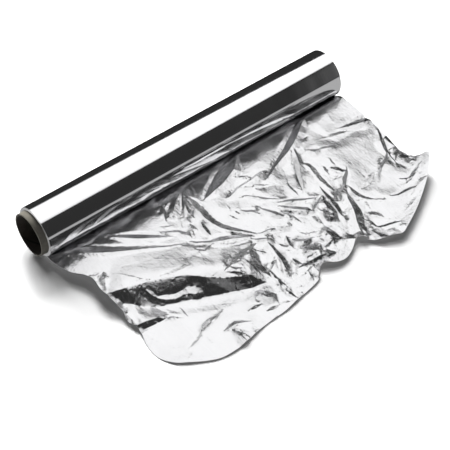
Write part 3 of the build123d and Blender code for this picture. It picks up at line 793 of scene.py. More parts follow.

# %% [markdown]
# ### Creases read off the photograph
# The finer creases are drawn one by one. Each is one steep little face: its middle line and width are
# read in pixels of the photograph, and a ray from the camera finds where that lies on the sheet.
# The face falls away from the camera or to its right, the two ways in which foil soon mirrors the
# dark room. On both sides the foil goes gently back to the ground.
#
# A row says how dark the crease is, from 3, nearly black, to 0, a trace, or -1 for a light ripple in
# a dark face. Then come its marks. A third value fades the face to one side, and a last one turns a
# crease towards the roll.

# %% Marks of the creases
creases = [
    # beside the near end of the roll, and the near edge
    (3, [(104, 236, 1), (120, 236, 3.5), (140, 236.3, 4.5), (155, 236.3, 3.5), (166, 236, 2),
         (173, 236, 0.5)]),
    (2, [(80, 250, 6), (95, 249.5, 8), (112, 249.5, 6), (130, 248.5, 4.5), (150, 247, 3), (165, 246, 2),
         (180, 244, 1)], -1),
    (3, [(103.5, 272, 0.7), (101.5, 278, 6), (103.5, 284, 4), (106, 292, 1)]),
    (1, [(88, 276, 1), (95, 275.5, 3), (101, 273, 1)]),
    (1, [(112, 273, 1), (128, 275.5, 1.5), (140, 278, 1.5), (150, 279.5, 1)]),
    (0, [(160, 276, 1), (168, 273, 2.5), (176, 270, 3), (184, 266.5, 3), (191, 263.5, 1)]),
    # the tall step and what lies in it
    (1, [(166, 310, 1), (172, 312, 4), (182, 314, 1)]),
    (3, [(118, 313, 1), (122, 313, 3.5), (127, 313, 1)]),
    (3, [(258, 291, 1), (262, 292.5, 4), (268, 294, 6), (272, 294.5, 4), (275, 294, 1)]),
    (-1, [(147, 289.5, 1), (152, 293, 2), (157.5, 297, 1)]),
    (-1, [(158, 297.3, 1), (166, 297.2, 2.5), (175, 296.5, 2.5), (182, 293, 2.5), (188, 290, 3.5),
          (196, 289.5, 4), (204, 290, 1)]),
    # the flat front corner
    (2, [(223, 311, 1.5), (218, 315.5, 2), (211, 321, 3), (204, 327.5, 3.5), (200, 332, 2)]),
    (2, [(200, 332, 1), (200, 336, 2.5), (196, 341, 2.5), (189, 348, 1)]),
    (2, [(224, 331, 1), (230, 326, 3), (235, 322.5, 3.5), (243, 321.5, 2), (251, 321.3, 0.5)]),
    (3, [(232, 330, 1), (238, 332.5, 2.5), (244, 335.5, 4), (248.5, 338.5, 4), (251, 341, 1)]),
    (3, [(181, 308, 1), (184, 312, 2), (187, 315.5, 1)]),
    (1, [(165, 317.5, 1), (172, 317.5, 2.5), (183, 318, 1)]),
    (1, [(209, 300, 1), (213, 305, 1.5), (218, 312, 0.7)]),
    (1, [(205, 336, 1), (209, 339, 1.2), (213, 343, 0.7)]),
    (2, [(248, 311, 1), (255, 307.5, 3), (262, 304.5, 1)]),
    (2, [(267, 311, 1), (273, 308, 3), (280, 303.5, 1)]),
    # between the step and the star
    (3, [(207, 242.5, 1), (213, 240.5, 3.5), (222, 238.7, 4.5), (232, 237.2, 4), (242, 236.3, 3),
         (252, 235.7, 1)]),
    (1, [(213, 244.5, 1), (222, 243.5, 3), (235, 241.5, 2), (245, 239.5, 1)]),
    (3, [(191, 241, 1), (196, 242, 2.2), (203, 241.7, 1.8), (209, 240.5, 0.7)]),
    (3, [(196, 249.5, 1), (201, 250.5, 2), (205, 251, 2), (208, 247.5, 1.5), (212, 245, 0.5)]),
    (3, [(197.5, 252, 1), (199.5, 253, 2.5), (202, 255, 0.7)]),
    (3, [(256, 243.5, 1), (250, 248.5, 2.5), (243, 255, 3), (237, 260, 3), (231, 264.5, 1.5)]),
    (3, [(230.5, 265, 1.5), (227.5, 267.5, 2), (224.5, 270.5, 0.7)]),
    (3, [(230, 266.5, 1), (235, 268.5, 2), (241, 268, 1)]),
    (2, [(226, 272, 1), (233, 272.5, 2), (240, 274, 4), (246, 275, 2.5), (252, 276, 1)]),
    (1, [(223, 270, 1), (225, 264, 4), (229, 258, 1)]),
    (3, [(252, 238.8, 0.7), (258, 239.5, 1.5), (270, 238.5, 0.7)]),
    (2, [(268.5, 243, 1), (266, 248, 3.5), (265, 253, 1.5)]),
    (2, [(257, 250.5, 0.7), (261, 250.5, 1.5), (266, 252.5, 1)]),
    (3, [(269, 243.5, 1), (273, 246.5, 2.5), (278, 252, 3.5), (283, 258, 4), (287, 265, 5), (290, 273, 4),
         (291, 278, 1)]),
    (3, [(293, 259, 1), (297, 262, 3), (302, 264.5, 1)]),
    (2, [(291, 262, 1), (293.5, 267, 4), (296, 272, 4), (297, 276, 1)]),
    (2, [(275, 256, 1), (273, 262, 3.5), (270, 268, 2.5), (268, 271, 0.7)]),
    (2, [(277, 258, 1), (279, 264, 3), (280, 270, 1)]),
    (1, [(283, 268, 1), (285, 273, 2), (286, 278, 1)]),
    # the star beside the middle of the roll
    (3, [(163.5, 207, 1), (165, 213, 3), (166, 221, 1)]),
    (1, [(173, 193, 1), (169, 200, 2.5), (164.5, 207, 1)]),
    (2, [(181, 192, 1), (179, 200, 5), (177.5, 209, 8), (177, 216, 9), (177, 219, 2)]),
    (3, [(183, 195, 1), (186.5, 204, 3.5), (190, 212, 4), (194, 217.5, 1)]),
    (2, [(187, 196.5, 2), (194, 203, 5), (201, 209, 6), (207, 216, 6), (214, 221.5, 5), (222, 226, 4.5),
         (231, 229, 4), (241, 231, 3.5), (250, 232.6, 2.5), (258, 233.3, 1)]),
    (2, [(256, 233.5, 1), (262, 232.5, 1.5), (268, 229, 1.2), (275, 228, 0.7)]),
    (3, [(201, 220, 1), (204, 226, 3.5), (208, 231, 3), (211, 235, 1)]),
    (3, [(186, 216, 1), (188.5, 219.5, 2.5), (191, 222, 1)]),
    (3, [(190, 224, 1), (193, 226.5, 3.5), (196, 228, 1)]),
    (2, [(192, 229, 1), (194, 234, 2), (195, 238, 0.7)]),
    (1, [(181, 221, 1), (182, 226, 2), (182.5, 230, 0.7)]),
    (3, [(160, 231.8, 0.7), (168, 231.5, 1.8), (178, 230.8, 2), (184, 232.5, 3), (188, 233.5, 3),
         (191, 232, 1)]),
    (1, [(160, 226.5, 1), (166, 227, 2.5), (172, 225, 1)]),
    (2, [(192, 187, 1), (195, 192, 3), (197, 198, 1)]),
    (2, [(236, 154, 4), (229, 166, 12), (220, 178, 12), (211, 190, 7), (204, 200, 1)], 0, True),
    # the smooth middle
    (2, [(233, 178, 0.7), (240, 176.8, 1.8), (248, 176.5, 2.2), (253, 177.5, 1.5)]),
    (3, [(262, 171.5, 1), (256, 175.5, 2), (250, 180, 2), (243, 184, 2), (237, 187.5, 2.2), (233, 192, 2),
         (228.5, 197, 1)]),
    (1, [(238, 198, 0.7), (244, 196, 1.8), (252, 195.5, 1.8), (260, 197, 1)]),
    (1, [(226, 205, 1), (229, 211, 2), (231, 214, 0.7)]),
    (0, [(229, 215, 0.7), (233, 217, 1.8), (238, 219.5, 0.7)]),
    (1, [(235, 211, 0.7), (238, 213, 2), (240, 214, 0.7)]),
    (3, [(241.5, 210, 0.7), (246, 211.2, 2.3), (252, 211, 2.3), (257, 212.5, 2), (258.5, 213.5, 0.7)]),
    (3, [(255, 209.5, 0.7), (258, 207, 2.2), (261, 208, 1.2)]),
    (3, [(260, 208.5, 1.2), (268, 211, 2.6), (276, 213.5, 2.6), (284, 216.3, 1)]),
    (3, [(281, 211.5, 1), (286, 213, 2.5), (290, 215, 3), (294, 216.5, 1)]),
    (1, [(292, 216, 1), (296, 219, 2.5), (301, 222, 0.7)]),
    (1, [(232, 190, 0.7), (248, 186, 2), (268, 184.5, 1)]),
    (2, [(245, 195, 0.7), (255, 197.3, 1.5), (265, 198.7, 1.5), (279, 199.5, 0.7)]),
    (3, [(279, 206.5, 0.7), (288, 207.3, 2), (298, 208.3, 3), (307, 209, 3), (312, 211, 1)]),
    (2, [(278, 203, 0.7), (288, 201, 2), (300, 199.5, 2), (315, 198, 1)]),
    (2, [(287.5, 179, 0.7), (287.7, 184, 1.5), (291, 188, 2), (298, 195, 1)]),
    (0, [(284, 190, 1), (280.5, 195.5, 3), (278, 200, 1)]),
    (3, [(300, 120, 6), (296, 130, 7), (291, 141, 7), (286, 150, 6), (280, 158, 4), (274, 166, 3),
         (270, 173, 2.5), (265, 180, 1)]),
    (2, [(307, 137, 1), (303, 141, 3), (299, 146, 3), (296.5, 149, 1)]),
    (3, [(309, 150, 0.7), (314, 150.5, 2.5), (319, 149, 1)]),
    (1, [(318, 149, 1), (325, 147.5, 2), (333, 145.5, 0.7)]),
    (1, [(303, 148, 1), (304, 152, 2), (302, 155, 0.7)]),
    (3, [(292.5, 151, 2), (295, 158, 5), (297, 166, 6), (299, 174, 5), (301, 182, 3.5), (303, 190, 1)]),
    (1, [(303, 163.5, 1), (309, 165, 3.5), (314, 170, 4.5), (319, 177, 4.5), (325, 183, 4),
         (331, 188, 2.5), (334, 190, 0.7)]),
    # the fan of folds on the right
    (3, [(320, 187, 0.7), (325, 193, 2.5), (331, 199.5, 3.5), (336, 205, 4), (340, 211, 3.5),
         (342, 215.5, 1)]),
    (3, [(322, 196, 1), (326, 202.5, 4), (330, 208.5, 5), (335, 214.5, 5), (338, 219, 2)]),
    (3, [(321, 197, 1), (317, 203, 3), (314, 208, 3), (312, 212, 1)]),
    (3, [(320, 210.5, 1), (325, 212.5, 2.5), (330, 215.5, 2.5), (332, 217, 0.7)]),
    (1, [(323, 166, 1), (326, 170, 3.5), (329, 175, 1)]),
    (1, [(330, 167.5, 1), (337, 168.5, 3), (343, 171, 3), (346, 171, 1)]),
    (3, [(347, 168, 1), (346.5, 173, 3), (344.5, 179, 4.5), (344.5, 185, 3)]),
    (3, [(344, 187, 1.5), (339.5, 190, 4), (336, 195, 4), (333.5, 199.5, 1)]),
    (0, [(329, 158, 1), (333, 163, 2), (337, 168, 1)]),
    (2, [(331, 179.5, 0.7), (335, 178.5, 2), (340, 176.5, 1)]),
    (3, [(346, 191, 1), (349, 197, 3.5), (354, 204, 5), (358, 211, 7), (360.5, 219, 8), (363.5, 227, 8),
         (368, 235, 5), (370, 239, 2)]),
    (1, [(348, 186, 1), (354, 191.5, 3), (362, 196.3, 3), (372, 198.8, 2), (386, 199, 1)]),
    (0, [(364, 198, 1), (366.5, 203, 3), (370, 208, 1)]),
    (0, [(364, 212, 2), (372, 212.5, 4), (380, 214, 4), (384, 217, 1)]),
    (2, [(376, 226.5, 1), (384, 225.5, 2), (392, 223, 2), (401, 221, 0.7)]),
    (2, [(366, 218, 1), (371, 222, 3), (377, 226, 1)]),
    (2, [(371, 228, 1), (376, 231.5, 3), (382, 235, 3), (388, 236, 1)]),
    (2, [(343, 216, 1), (346, 218.5, 2.5), (349.5, 219, 0.7)]),
    (0, [(356, 208.5, 1), (349, 210, 4), (343.5, 213.5, 4), (341, 217, 1)]),
    # the far corner
    (2, [(339, 128, 0.7), (347, 125.5, 2), (355, 122.5, 3), (363, 120, 3.5), (368.5, 119, 2)]),
    (0, [(320, 139, 0.7), (330, 135.5, 2.5), (342, 132, 2.5), (352, 130.5, 1)]),
    (3, [(377.5, 129, 1), (380, 134, 2.5), (382, 140, 3), (385, 147, 3.5), (387.5, 152, 2)]),
    (3, [(387.5, 152, 2), (386, 158, 3), (383, 163, 3.5), (380.5, 168, 3), (379.7, 175, 2),
         (380, 182, 0.7)]),
    (1, [(377, 163, 1), (380, 160.5, 2.5), (384, 157, 1)]),
    (1, [(375, 172, 1), (372, 177, 4), (368, 183, 4), (362, 188, 1)]),
    (3, [(388, 153, 1), (391, 157, 1.5), (394, 160, 1), (397, 164.5, 0.7)]),
    (3, [(397.5, 151, 0.7), (396, 154.5, 2), (395.5, 160, 0.7)]),
    (3, [(409, 158, 0.7), (412, 159.5, 2), (415, 160.5, 0.7)]),
    (0, [(403, 167, 0.7), (409, 162.5, 1.5), (413, 160, 0.7)]),
    (2, [(421, 161, 1), (417.5, 166, 3), (414, 172, 4), (410, 178, 3.5), (406, 183, 1)]),
    (1, [(399, 178.5, 0.7), (405, 178.5, 1.5), (411, 176, 0.7)]),
    (2, [(391, 196, 0.7), (398, 194.5, 1.5), (405, 190.5, 2.5), (411, 187.5, 2.5), (415, 186, 0.7)]),
    (0, [(414, 190, 0.7), (410, 194, 2), (405, 199, 0.7)]),
    (1, [(405, 211, 0.7), (409, 205, 3), (415, 198, 3), (421, 190, 0.7)]),
    # the crushed front edge
    (2, [(312, 215.5, 0.7), (318, 219, 2), (323, 224, 1)]),
    (3, [(292, 239, 0.7), (297, 240, 2.5), (305, 240, 2), (312.5, 237.5, 0.7)]),
    (3, [(286, 235, 0.7), (288.5, 239.5, 2.5), (291, 244, 3), (293.5, 247.5, 1)]),
    (2, [(279, 243, 0.7), (284, 245, 2.5), (289.5, 247, 1)]),
    (0, [(300, 233, 0.7), (308, 234, 2.5), (318, 231, 0.7)]),
    (3, [(301, 248.5, 0.7), (307, 247.5, 4), (314, 247, 6), (320, 246.5, 6), (322.5, 250, 1)]),
    (3, [(324, 226, 1), (328, 230.5, 5), (334, 234.5, 6), (339.5, 237, 2)]),
    (2, [(322.5, 233, 1), (323.5, 237.5, 4), (324.5, 241, 1)]),
    (3, [(330, 240, 0.7), (334, 239.7, 1.5), (341, 239.2, 0.7)]),
    (2, [(333, 241, 1), (329, 244.5, 3), (325, 248.5, 3), (323, 251, 0.7)]),
    (3, [(336, 253, 1), (328, 254.8, 5), (320, 258, 4.5), (312, 261.5, 3), (305, 265, 2),
         (299, 268, 0.7)]),
    (1, [(320, 251.5, 0.7), (312, 255.5, 2), (303, 260, 0.7)]),
    (0, [(284, 245.5, 0.7), (290, 251.5, 2), (296, 257, 1)]),
    (3, [(313, 265, 0.7), (316, 267.7, 2), (320, 270.5, 2), (322, 272.5, 0.7)]),
    (3, [(309, 272, 0.7), (312, 276, 2.5), (314, 280, 0.7)]),
    (2, [(318, 262, 0.7), (312, 266, 2.5), (308, 271, 1)]),
    (2, [(320, 266, 0.7), (326, 264, 2.5), (332, 262, 0.7)]),
    (2, [(277, 276, 1), (280, 281, 3), (285, 287, 3), (291, 293, 3), (297.5, 298, 0.7)]),
    (2, [(283, 280, 0.7), (287, 285, 2.5), (292, 289, 0.7)]),
    (1, [(297, 287, 0.7), (301, 287, 1.8), (304, 286, 0.7)]),
    (1, [(270, 271, 1), (272, 275, 3), (275, 280, 1)]),
]
crease_slopes = {3: 23.0, 2: 15.5, 1: 10.0, 0: 6.5, -1: -8.0}
print(len(creases), "creases marked")

# %% [markdown]
# How steep a face must be to turn dark depends on the way it falls. Away from the camera little is
# enough, because the reflection soon leaves the soft box. Towards the camera or to the left it takes
# more, because the box reaches further there. The slopes are in degrees. What the ground falls
# already, over a few pixels on both sides of the marks, is taken off.

# %% How steeply a crease must fall
towards_roll = np.array([-0.5, -0.85])
roll_extra, camera_extra, left_extra = 3, 12, 20
probe_reach = 4.0
first_guess = 6.0
settling_rounds = 6
ground_map = ground_at(ground_places).reshape(ground_size)


def dark_slope(tone, fall):
    """How steeply a face must fall along a direction on the picture to turn that dark."""
    right, down = fall.mean(axis=0)
    degrees = crease_slopes[tone]
    if tone > 0 and right < down and fall.mean(axis=0) @ towards_roll > 0:
        degrees += roll_extra
    elif tone > 0:
        degrees += camera_extra * max(down, 0) + left_extra * max(-right, 0)
    return math.tan(math.radians(degrees))


def extra_rise(tone, middle, fall):
    """How much a face falling along a direction must be steeper than the ground it lies on."""
    level = np.full(len(middle), first_guess)
    for _ in range(settling_rounds):
        level = read_grid(ground_map, on_sheet(middle, level))
    back = on_sheet(middle - fall * probe_reach, level)
    front = on_sheet(middle + fall * probe_reach, level)
    drop = read_grid(ground_map, back) - read_grid(ground_map, front)
    return dark_slope(tone, fall) - (drop / np.hypot(*(back - front).T)).mean()


print("ground with folds up to", round(float(ground_map.max()), 1), "mm")

# %% [markdown]
# A crease falls across its own run, to one side or to the other. A dark one takes the side that
# turns dark with less extra slope, unless its marks ask for the side of the roll. A faint one falls
# away from the camera or to its right.

# %% Which way a crease falls
falls_first = np.array([0.8, -1.0])


def which_way(tone, middle, toward_roll):
    """The direction on the picture in which a crease falls, at each of its marks."""
    run = np.gradient(middle, axis=0)
    run /= np.linalg.norm(run, axis=1)[:, None]
    fall = np.column_stack([run[:, 1], -run[:, 0]])
    if (fall @ (towards_roll if toward_roll else falls_first)).mean() < 0:
        fall = -fall
    free_to_turn = tone > 0 and not toward_roll
    if free_to_turn and extra_rise(tone, middle, -fall) < extra_rise(tone, middle, fall):
        fall = -fall
    return fall


level_marks = np.array([(200.0, 250.0), (210.0, 250.0)])
print("a level crease falls along", which_way(0, level_marks, False)[0].round(2).tolist(), "on the picture")

# %% [markdown]
# A crease's face is fitted to the picture: its two edges are held to the marked pixels while its
# rise changes their heights, and with them the places that the rays meet. A few rounds settle it.
# Where the ground falls the same way already, the crease needs less rise of its own. A wide face
# that fades gets a middle row, so that it bows.

# %% Fit a crease to the picture
fitting_rounds = 8
low_share = 0.35
table_room = 0.4
rise_limit = 3.2
least_slope = 0.05
ground_counts, ripple_ground_counts = 0.32, 0.6
crease_easing, ripple_easing, easing_spare = 3.2, 1.4, 0.3
bowed_width, middle_share, bow_share = 2.9, 0.5, 0.16


def crease_faces(tone, marks, fade=0, toward_roll=False):
    """The steep face of a crease as a band: its edges, with the height that each adds."""
    marks = np.array(marks, dtype=float)
    middle, width = marks[:, :2], marks[:, 2]
    fall = which_way(tone, middle, toward_roll)
    low_pixel = middle + fall * width[:, None] / 2
    high_pixel = middle - fall * width[:, None] / 2
    steep = dark_slope(tone, fall)
    ground = np.full(len(marks), first_guess)
    rise = np.zeros(len(marks))
    for _ in range(fitting_rounds):
        sunk = np.minimum(low_share * np.maximum(rise, 0), np.maximum(ground - table_room, 0))
        low = on_sheet(low_pixel, ground - sunk)
        high = on_sheet(high_pixel, ground - sunk + rise)
        low_ground, high_ground = read_grid(ground_map, low), read_grid(ground_map, high)
        ground = (low_ground + high_ground) / 2
        apart = np.hypot(*(low - high).T)
        most = (ripple_ground_counts if tone < 0 else ground_counts) * apart
        already = np.clip(high_ground - low_ground, -most, most)
        rise = np.minimum(np.maximum(steep * apart - already, least_slope * apart), rise_limit)
    sunk = np.minimum(low_share * rise, np.maximum(ground - table_room, 0))
    rows, rises = [low, high], [-sunk, rise - sunk]
    if width.max() >= bowed_width and fade != 0:
        rows.insert(1, (low + high) / 2)
        rises.insert(1, rise * (middle_share + bow_share * fade) - sunk)
    easing = ripple_easing if tone < 0 else crease_easing
    return rows, rises, (easing, easing), easing_spare


crease_layers = [crease_faces(*crease) for crease in creases]
crease_edges = [edge for layer in crease_layers for edge in layer[0]]
crease_lines = [(tuple(a), tuple(b)) for edge in crease_edges for a, b in zip(edge, edge[1:])]
print("creases fitted, with", len(crease_lines), "runs of edge")

# %% [markdown]
# ### Creases too fine to mark
# Between the marked creases the foil is broken into smaller facets. Two random nets make them: a
# coarse one with faint slopes all over, and a fine one with steeper slopes only where the sheet was
# crushed. Near the roll and at a few calm spots both are held back. The share of a net at a place is
# made of soft bells. A calm spot is a place and a reach. A crushed one has a reach along x and
# another along y, a lean with y, and a share.

# %% Where the sheet is crushed and where it is calm
calm_spots = [(38, -146, 34), (66, -122, 26), (60, 122, 32), (140, -108, 30), (90, 95, 26)]
calm_depth = 0.75
crushed_spots = [(128, 12, 30, 62, 0.12, 1.0), (80, 10, 28, 50, 0.0, 0.45)]
nets_start, nets_fade = 16, 14


def bell(apart, reach):
    """1 in the middle, falling smoothly to next to nothing at twice the reach."""
    return math.exp(-(apart / reach) ** 2)


def crushed(x, y):
    """How hard the sheet is crushed at a plan place, from 0 to 1."""
    total = 0.0
    for spot_x, spot_y, reach_x, reach_y, lean, share in crushed_spots:
        total += share * (bell(x - spot_x + lean * y, reach_x) * bell(y - spot_y, reach_y))
    return min(1.0, total)


def calm_share(x, y):
    """How much the nets may show: nothing beside the roll, little where the sheet stayed smooth."""
    share = min(1.0, max(0.0, (x - nets_start) / nets_fade))
    for spot_x, spot_y, reach in calm_spots:
        share *= 1 - calm_depth * bell(math.hypot(x - spot_x, y - spot_y), reach)
    return share


print("crushed in the middle:", round(crushed(120, 10), 2), "near corner:", round(crushed(40, -140), 2))

# %% [markdown]
# Each net is a grid of points moved about at random, with a random height at each. Triangles between
# them are the facets. The seeds are fixed, so every run makes the same sheet.

# %% Random nets of small facets
net_size = (200, 340)
net_corner = (2, -168)
net_jitter = 0.35
net_rise = 0.6
merge_distance = 1e-4


def triangulate(points, edges=()):
    """Plan triangles between points, with the given edges kept whole."""
    flat = [Vector((float(p[0]), float(p[1]))) for p in points]
    made = delaunay_2d_cdt(flat, [tuple(map(int, edge)) for edge in edges], [], 0, merge_distance)
    return np.array([(v.x, v.y) for v in made[0]]), np.array(list(made[2]))


def random_net(seed, gap, slope, share_everywhere):
    """Facets about gap wide and slope steep, in degrees, and steepest where the sheet is crushed."""
    draw = random.Random(seed)
    rise = gap * math.tan(math.radians(slope)) * net_rise
    points = []
    for i in range(int(net_size[0] / gap)):
        for j in range(int(net_size[1] / gap)):
            x = (i + 0.5 * (j % 2) + draw.uniform(-net_jitter, net_jitter)) * gap + net_corner[0]
            y = (j + draw.uniform(-net_jitter, net_jitter)) * gap + net_corner[1]
            share = calm_share(x, y) * (share_everywhere + (1 - share_everywhere) * crushed(x, y))
            points.append((x, y, rise * draw.gauss(0, 1) * share))
    points = np.array(points)
    return points[triangulate(points)[1]]


coarse_net = random_net(seed=11, gap=17.0, slope=3.8, share_everywhere=0.6)
fine_net = random_net(seed=12, gap=7.0, slope=6.5, share_everywhere=0.15)
print("coarse facets", len(coarse_net), "fine facets", len(fine_net))

# %% [markdown]
# ### Cut the sheet into triangles
# A constrained triangulation takes points and lines, and returns triangles that never cross a line.
# The lines are all the creases: the edges of every layer of facets, where the layer shows.

# %% Creases as lines
least_share = 0.3


def net_lines(facets, share):
    """Each edge of a layer once, as two plan places, where share isn't small at one of its ends."""
    seen = {}
    for facet in facets:
        ends = [(round(float(x), 3), round(float(y), 3)) for x, y, z in facet]
        for i in range(3):
            seen[tuple(sorted([ends[i], ends[(i + 1) % 3]]))] = True
    places = np.array(list(seen))
    shown = np.maximum(share(places[:, 0]), share(places[:, 1])) > least_share
    return [line for line, shows in zip(seen, shown) if shows]


lines = net_lines(base_facets, sharpness)
lines += net_lines(coarse_net, lambda places: np.ones(len(places)))
lines += net_lines(fine_net, lambda places: np.array([crushed(x, y) for x, y in places]))
lines += fold_lines + crease_lines
print("crease lines:", len(lines))

# %% [markdown]
# Long lines are divided first. Points at an even gap then fill the facets, so that they can bow a
# little. They are laid row by row and moved a little at random, because a perfect lattice shows up
# in reflections. A point too near a line is left out.

# %% Triangles of the sheet
sheet_seed = 5
fill_jitter = 0.15
crowded_share = 0.6
row_share = math.sqrt(3) / 2


def split_line(line, gap):
    """Places at even steps along a line, both ends included."""
    (x0, y0), (x1, y1) = line
    steps = max(1, round(math.hypot(x1 - x0, y1 - y0) / gap))
    return [(x0 + (x1 - x0) * i / steps, y0 + (y1 - y0) * i / steps) for i in range(steps + 1)]


def inside_ring(ring, places):
    """Whether each plan place lies inside a closed ring."""
    crossed = np.zeros(len(places), dtype=bool)
    for here, there in zip(ring, np.roll(ring, -1, axis=0)):
        if here[1] == there[1]:
            continue
        between = (here[1] > places[:, 1]) != (there[1] > places[:, 1])
        along = (places[:, 1] - here[1]) / (there[1] - here[1])
        crossed ^= between & (places[:, 0] < here[0] + along * (there[0] - here[0]))
    return crossed


def sheet_triangles(outline, lines, gap, seed):
    """Plan points and triangles inside the outline, about gap apart, with every line kept whole."""
    draw = random.Random(seed)
    cell_size = crowded_share * gap
    points = [(p[0], p[1]) for p in outline]
    edges = [(i, (i + 1) % len(points)) for i in range(len(points))]
    for line in lines:
        first = len(points)
        points += split_line(line, gap)
        edges += [(i, i + 1) for i in range(first, len(points) - 1)]
    taken = {(int(x // cell_size), int(y // cell_size)) for x, y in points}
    low, high = outline.min(axis=0), outline.max(axis=0)
    row = 0
    y = low[1]
    while y < high[1]:
        x = low[0] + 0.5 * gap * (row % 2)
        while x < high[0]:
            spot = (x + draw.uniform(-fill_jitter, fill_jitter) * gap,
                    y + draw.uniform(-fill_jitter, fill_jitter) * gap)
            if (int(spot[0] // cell_size), int(spot[1] // cell_size)) not in taken:
                points.append(spot)
            x += gap
        y += gap * row_share
        row += 1
    flat, triangles = triangulate(points, edges)
    triangles = triangles[inside_ring(outline, flat[triangles].mean(axis=1))]
    used = np.unique(triangles)
    renumber = np.full(len(flat), -1)
    renumber[used] = np.arange(len(used))
    return flat[used], renumber[triangles]


plan, triangles = sheet_triangles(outline, lines, mesh_gap, sheet_seed)
print("sheet:", len(plan), "points", len(triangles), "triangles")

# %% [markdown]
# Now every point gets its height: the ground, the two nets, and the creases one after another. The
# nets are held back on steep ground and along the rim, where they would only make noise.

# %% Heights of the sheet
steepest_calm = 0.27
steep_start, steep_least = 1.6, 0.25
rim_hush = 0.8
incline = np.hypot(*np.gradient(ground_map, ground_gap))
quiet = np.clip(steep_start - read_grid(incline, plan) / steepest_calm, steep_least, 1)
quiet *= 1 - rim_hush * sharpness(plan)
height = ground_at(plan) + table_z
height += (facet_heights(coarse_net, plan) + facet_heights(fine_net, plan)) * quiet
for layer in crease_layers:
    height += band_heights(layer, plan)
print("heights over the table up to", round(float(height.max()) - table_z, 1), "mm")

# %% [markdown]
# Foil bends a little between its creases. Each point is eased towards the mean of its neighbours,
# but a point on a sharp crease is held. What would sink into the table is set down on it.

# %% Ease the facets and hold the creases
table_gap = 0.15
hold_from, hold_range = 3.0, 12.0
least_length = 1e-12
easing_rounds, easing_step = 4, 0.6


def neighbour_mean(values, triangles, count):
    """The mean of a value over the neighbours of each point."""
    total = np.zeros(count)
    number = np.zeros(count)
    for i, j in ((0, 1), (1, 0), (1, 2), (2, 1), (2, 0), (0, 2)):
        total += np.bincount(triangles[:, i], values[triangles[:, j]], count)
        number += np.bincount(triangles[:, i], minlength=count)
    return total / number


def crease_angle(plan, height, triangles):
    """The sharpest crease at each point, in degrees."""
    a, b, c = (np.column_stack([plan, height])[triangles[:, i]] for i in range(3))
    across = np.cross(b - a, c - a)
    across /= np.linalg.norm(across, axis=1)[:, None] + least_length
    across[across[:, 2] < 0] *= -1
    lowest = np.full((len(plan), 3), np.inf)
    highest = np.full((len(plan), 3), -np.inf)
    for i in range(3):
        np.minimum.at(lowest, triangles[:, i], across)
        np.maximum.at(highest, triangles[:, i], across)
    return np.degrees(np.linalg.norm(highest - lowest, axis=1))


hold = np.clip((crease_angle(plan, height, triangles) - hold_from) / hold_range, 0, 1)
hold[plan[:, 0] < lead_limit] = 1
for _ in range(easing_rounds):
    height += easing_step * (1 - hold) * (neighbour_mean(height, triangles, len(plan)) - height)
height = np.maximum(height, table_z + table_gap)
print("held points:", int((hold > 0.5).sum()), "of", len(plan))

# %% [markdown]
# ### Give the sheet its two sides
# A real sheet has a matte side and a bright one. The surface is doubled a tenth of a millimetre
# apart and closed round the edge, so the piece is a proper thin solid and not a film without sides.
# The lower side is a copy of the upper one, turned over. An edge that only one triangle uses lies on
# the rim, and gets a narrow wall.

# %% Double the surface
sheet_thickness = 0.12


def double_surface(corners, triangles, thickness):
    """Corners and faces of a closed thin piece, with 0 for the upper faces and 1 for the others."""
    a, b, c = (corners[triangles[:, i]] for i in range(3))
    turned_over = np.cross(b - a, c - a)[:, 2] < 0
    triangles = np.where(turned_over[:, None], triangles[:, ::-1], triangles)
    under = corners - np.array([0, 0, thickness])
    count = len(corners)
    used = dict.fromkeys(edge for a, b, c in triangles.tolist() for edge in ((a, b), (b, c), (c, a)))
    walls = [(b, a, a + count, b + count) for a, b in used if (b, a) not in used]
    faces = triangles.tolist() + (triangles[:, ::-1] + count).tolist() + walls
    sides = [0] * len(triangles) + [1] * (len(triangles) + len(walls))
    return np.concatenate([corners, under]), faces, sides


corners, faces, sides = double_surface(np.column_stack([plan, height]), triangles, sheet_thickness)
print("doubled sheet:", len(corners), "corners", len(faces), "faces")

# %% [markdown]
# Every piece is built by one function. Creases sharper than a given angle are shaded as edges, the
# rest as one smooth surface: foil and card have both. The sheet rides on the one body there is and
# takes the place of the frame's own foil.

# %% The loose sheet
sheet_smooth_angle = 30


def build_mesh(name, corners, faces, materials, sides, smooth_angle):
    """A new piece from places in millimetres, with a material number for each face."""
    mesh = bpy.data.meshes.new(name)
    mesh.from_pydata((np.asarray(corners) * MM).tolist(), [], [list(map(int, face)) for face in faces])
    for finish in materials:
        mesh.materials.append(finish)
    mesh.polygons.foreach_set("material_index", sides)
    mesh.shade_smooth()
    mesh.set_sharp_from_angle(angle=math.radians(smooth_angle))
    mesh.update()
    print(name, len(faces), "faces")
    return add_object(name, mesh)


loose = build_mesh("loose_sheet", corners, faces, [matte_foil, bright_foil], sides, sheet_smooth_angle)
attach(loose, "root")
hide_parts("foil")

# %% [markdown]
# ## The wound turns
# The many turns of the strip would be far too fine to model one by one. What the eye sees is one
# smooth skin with slight waves, because the strip is never wound with quite even pull, and at each
# end the edges of the turns, a bundle of fine rings that don't line up perfectly.

# %% Shape of the skin
slow_waves = ((0.020, 0.071, 0.4), (0.012, 0.173, 2.1), (0.006, 0.41, 4.0))
turn_waves = ((1.0, 1, 0.3), (0.6, 2, 1.4), (0.35, 5, 0.2))
even_share = 0.6
skin_drop = 0.03


def wave(x, parts):
    """A sum of sines, each given by its size, its rate and its shift."""
    return sum(size * math.sin(rate * x + shift) for size, rate, shift in parts)


def skin_wave(angle, y):
    """How far the outer skin stands off its true radius, in millimetres."""
    return wave(y, slow_waves) * (even_share + (1 - even_share) * wave(angle, turn_waves)) - skin_drop


print("waves at the middle:", [round(skin_wave(turn, 0), 3) for turn in range(0, 7, 2)])

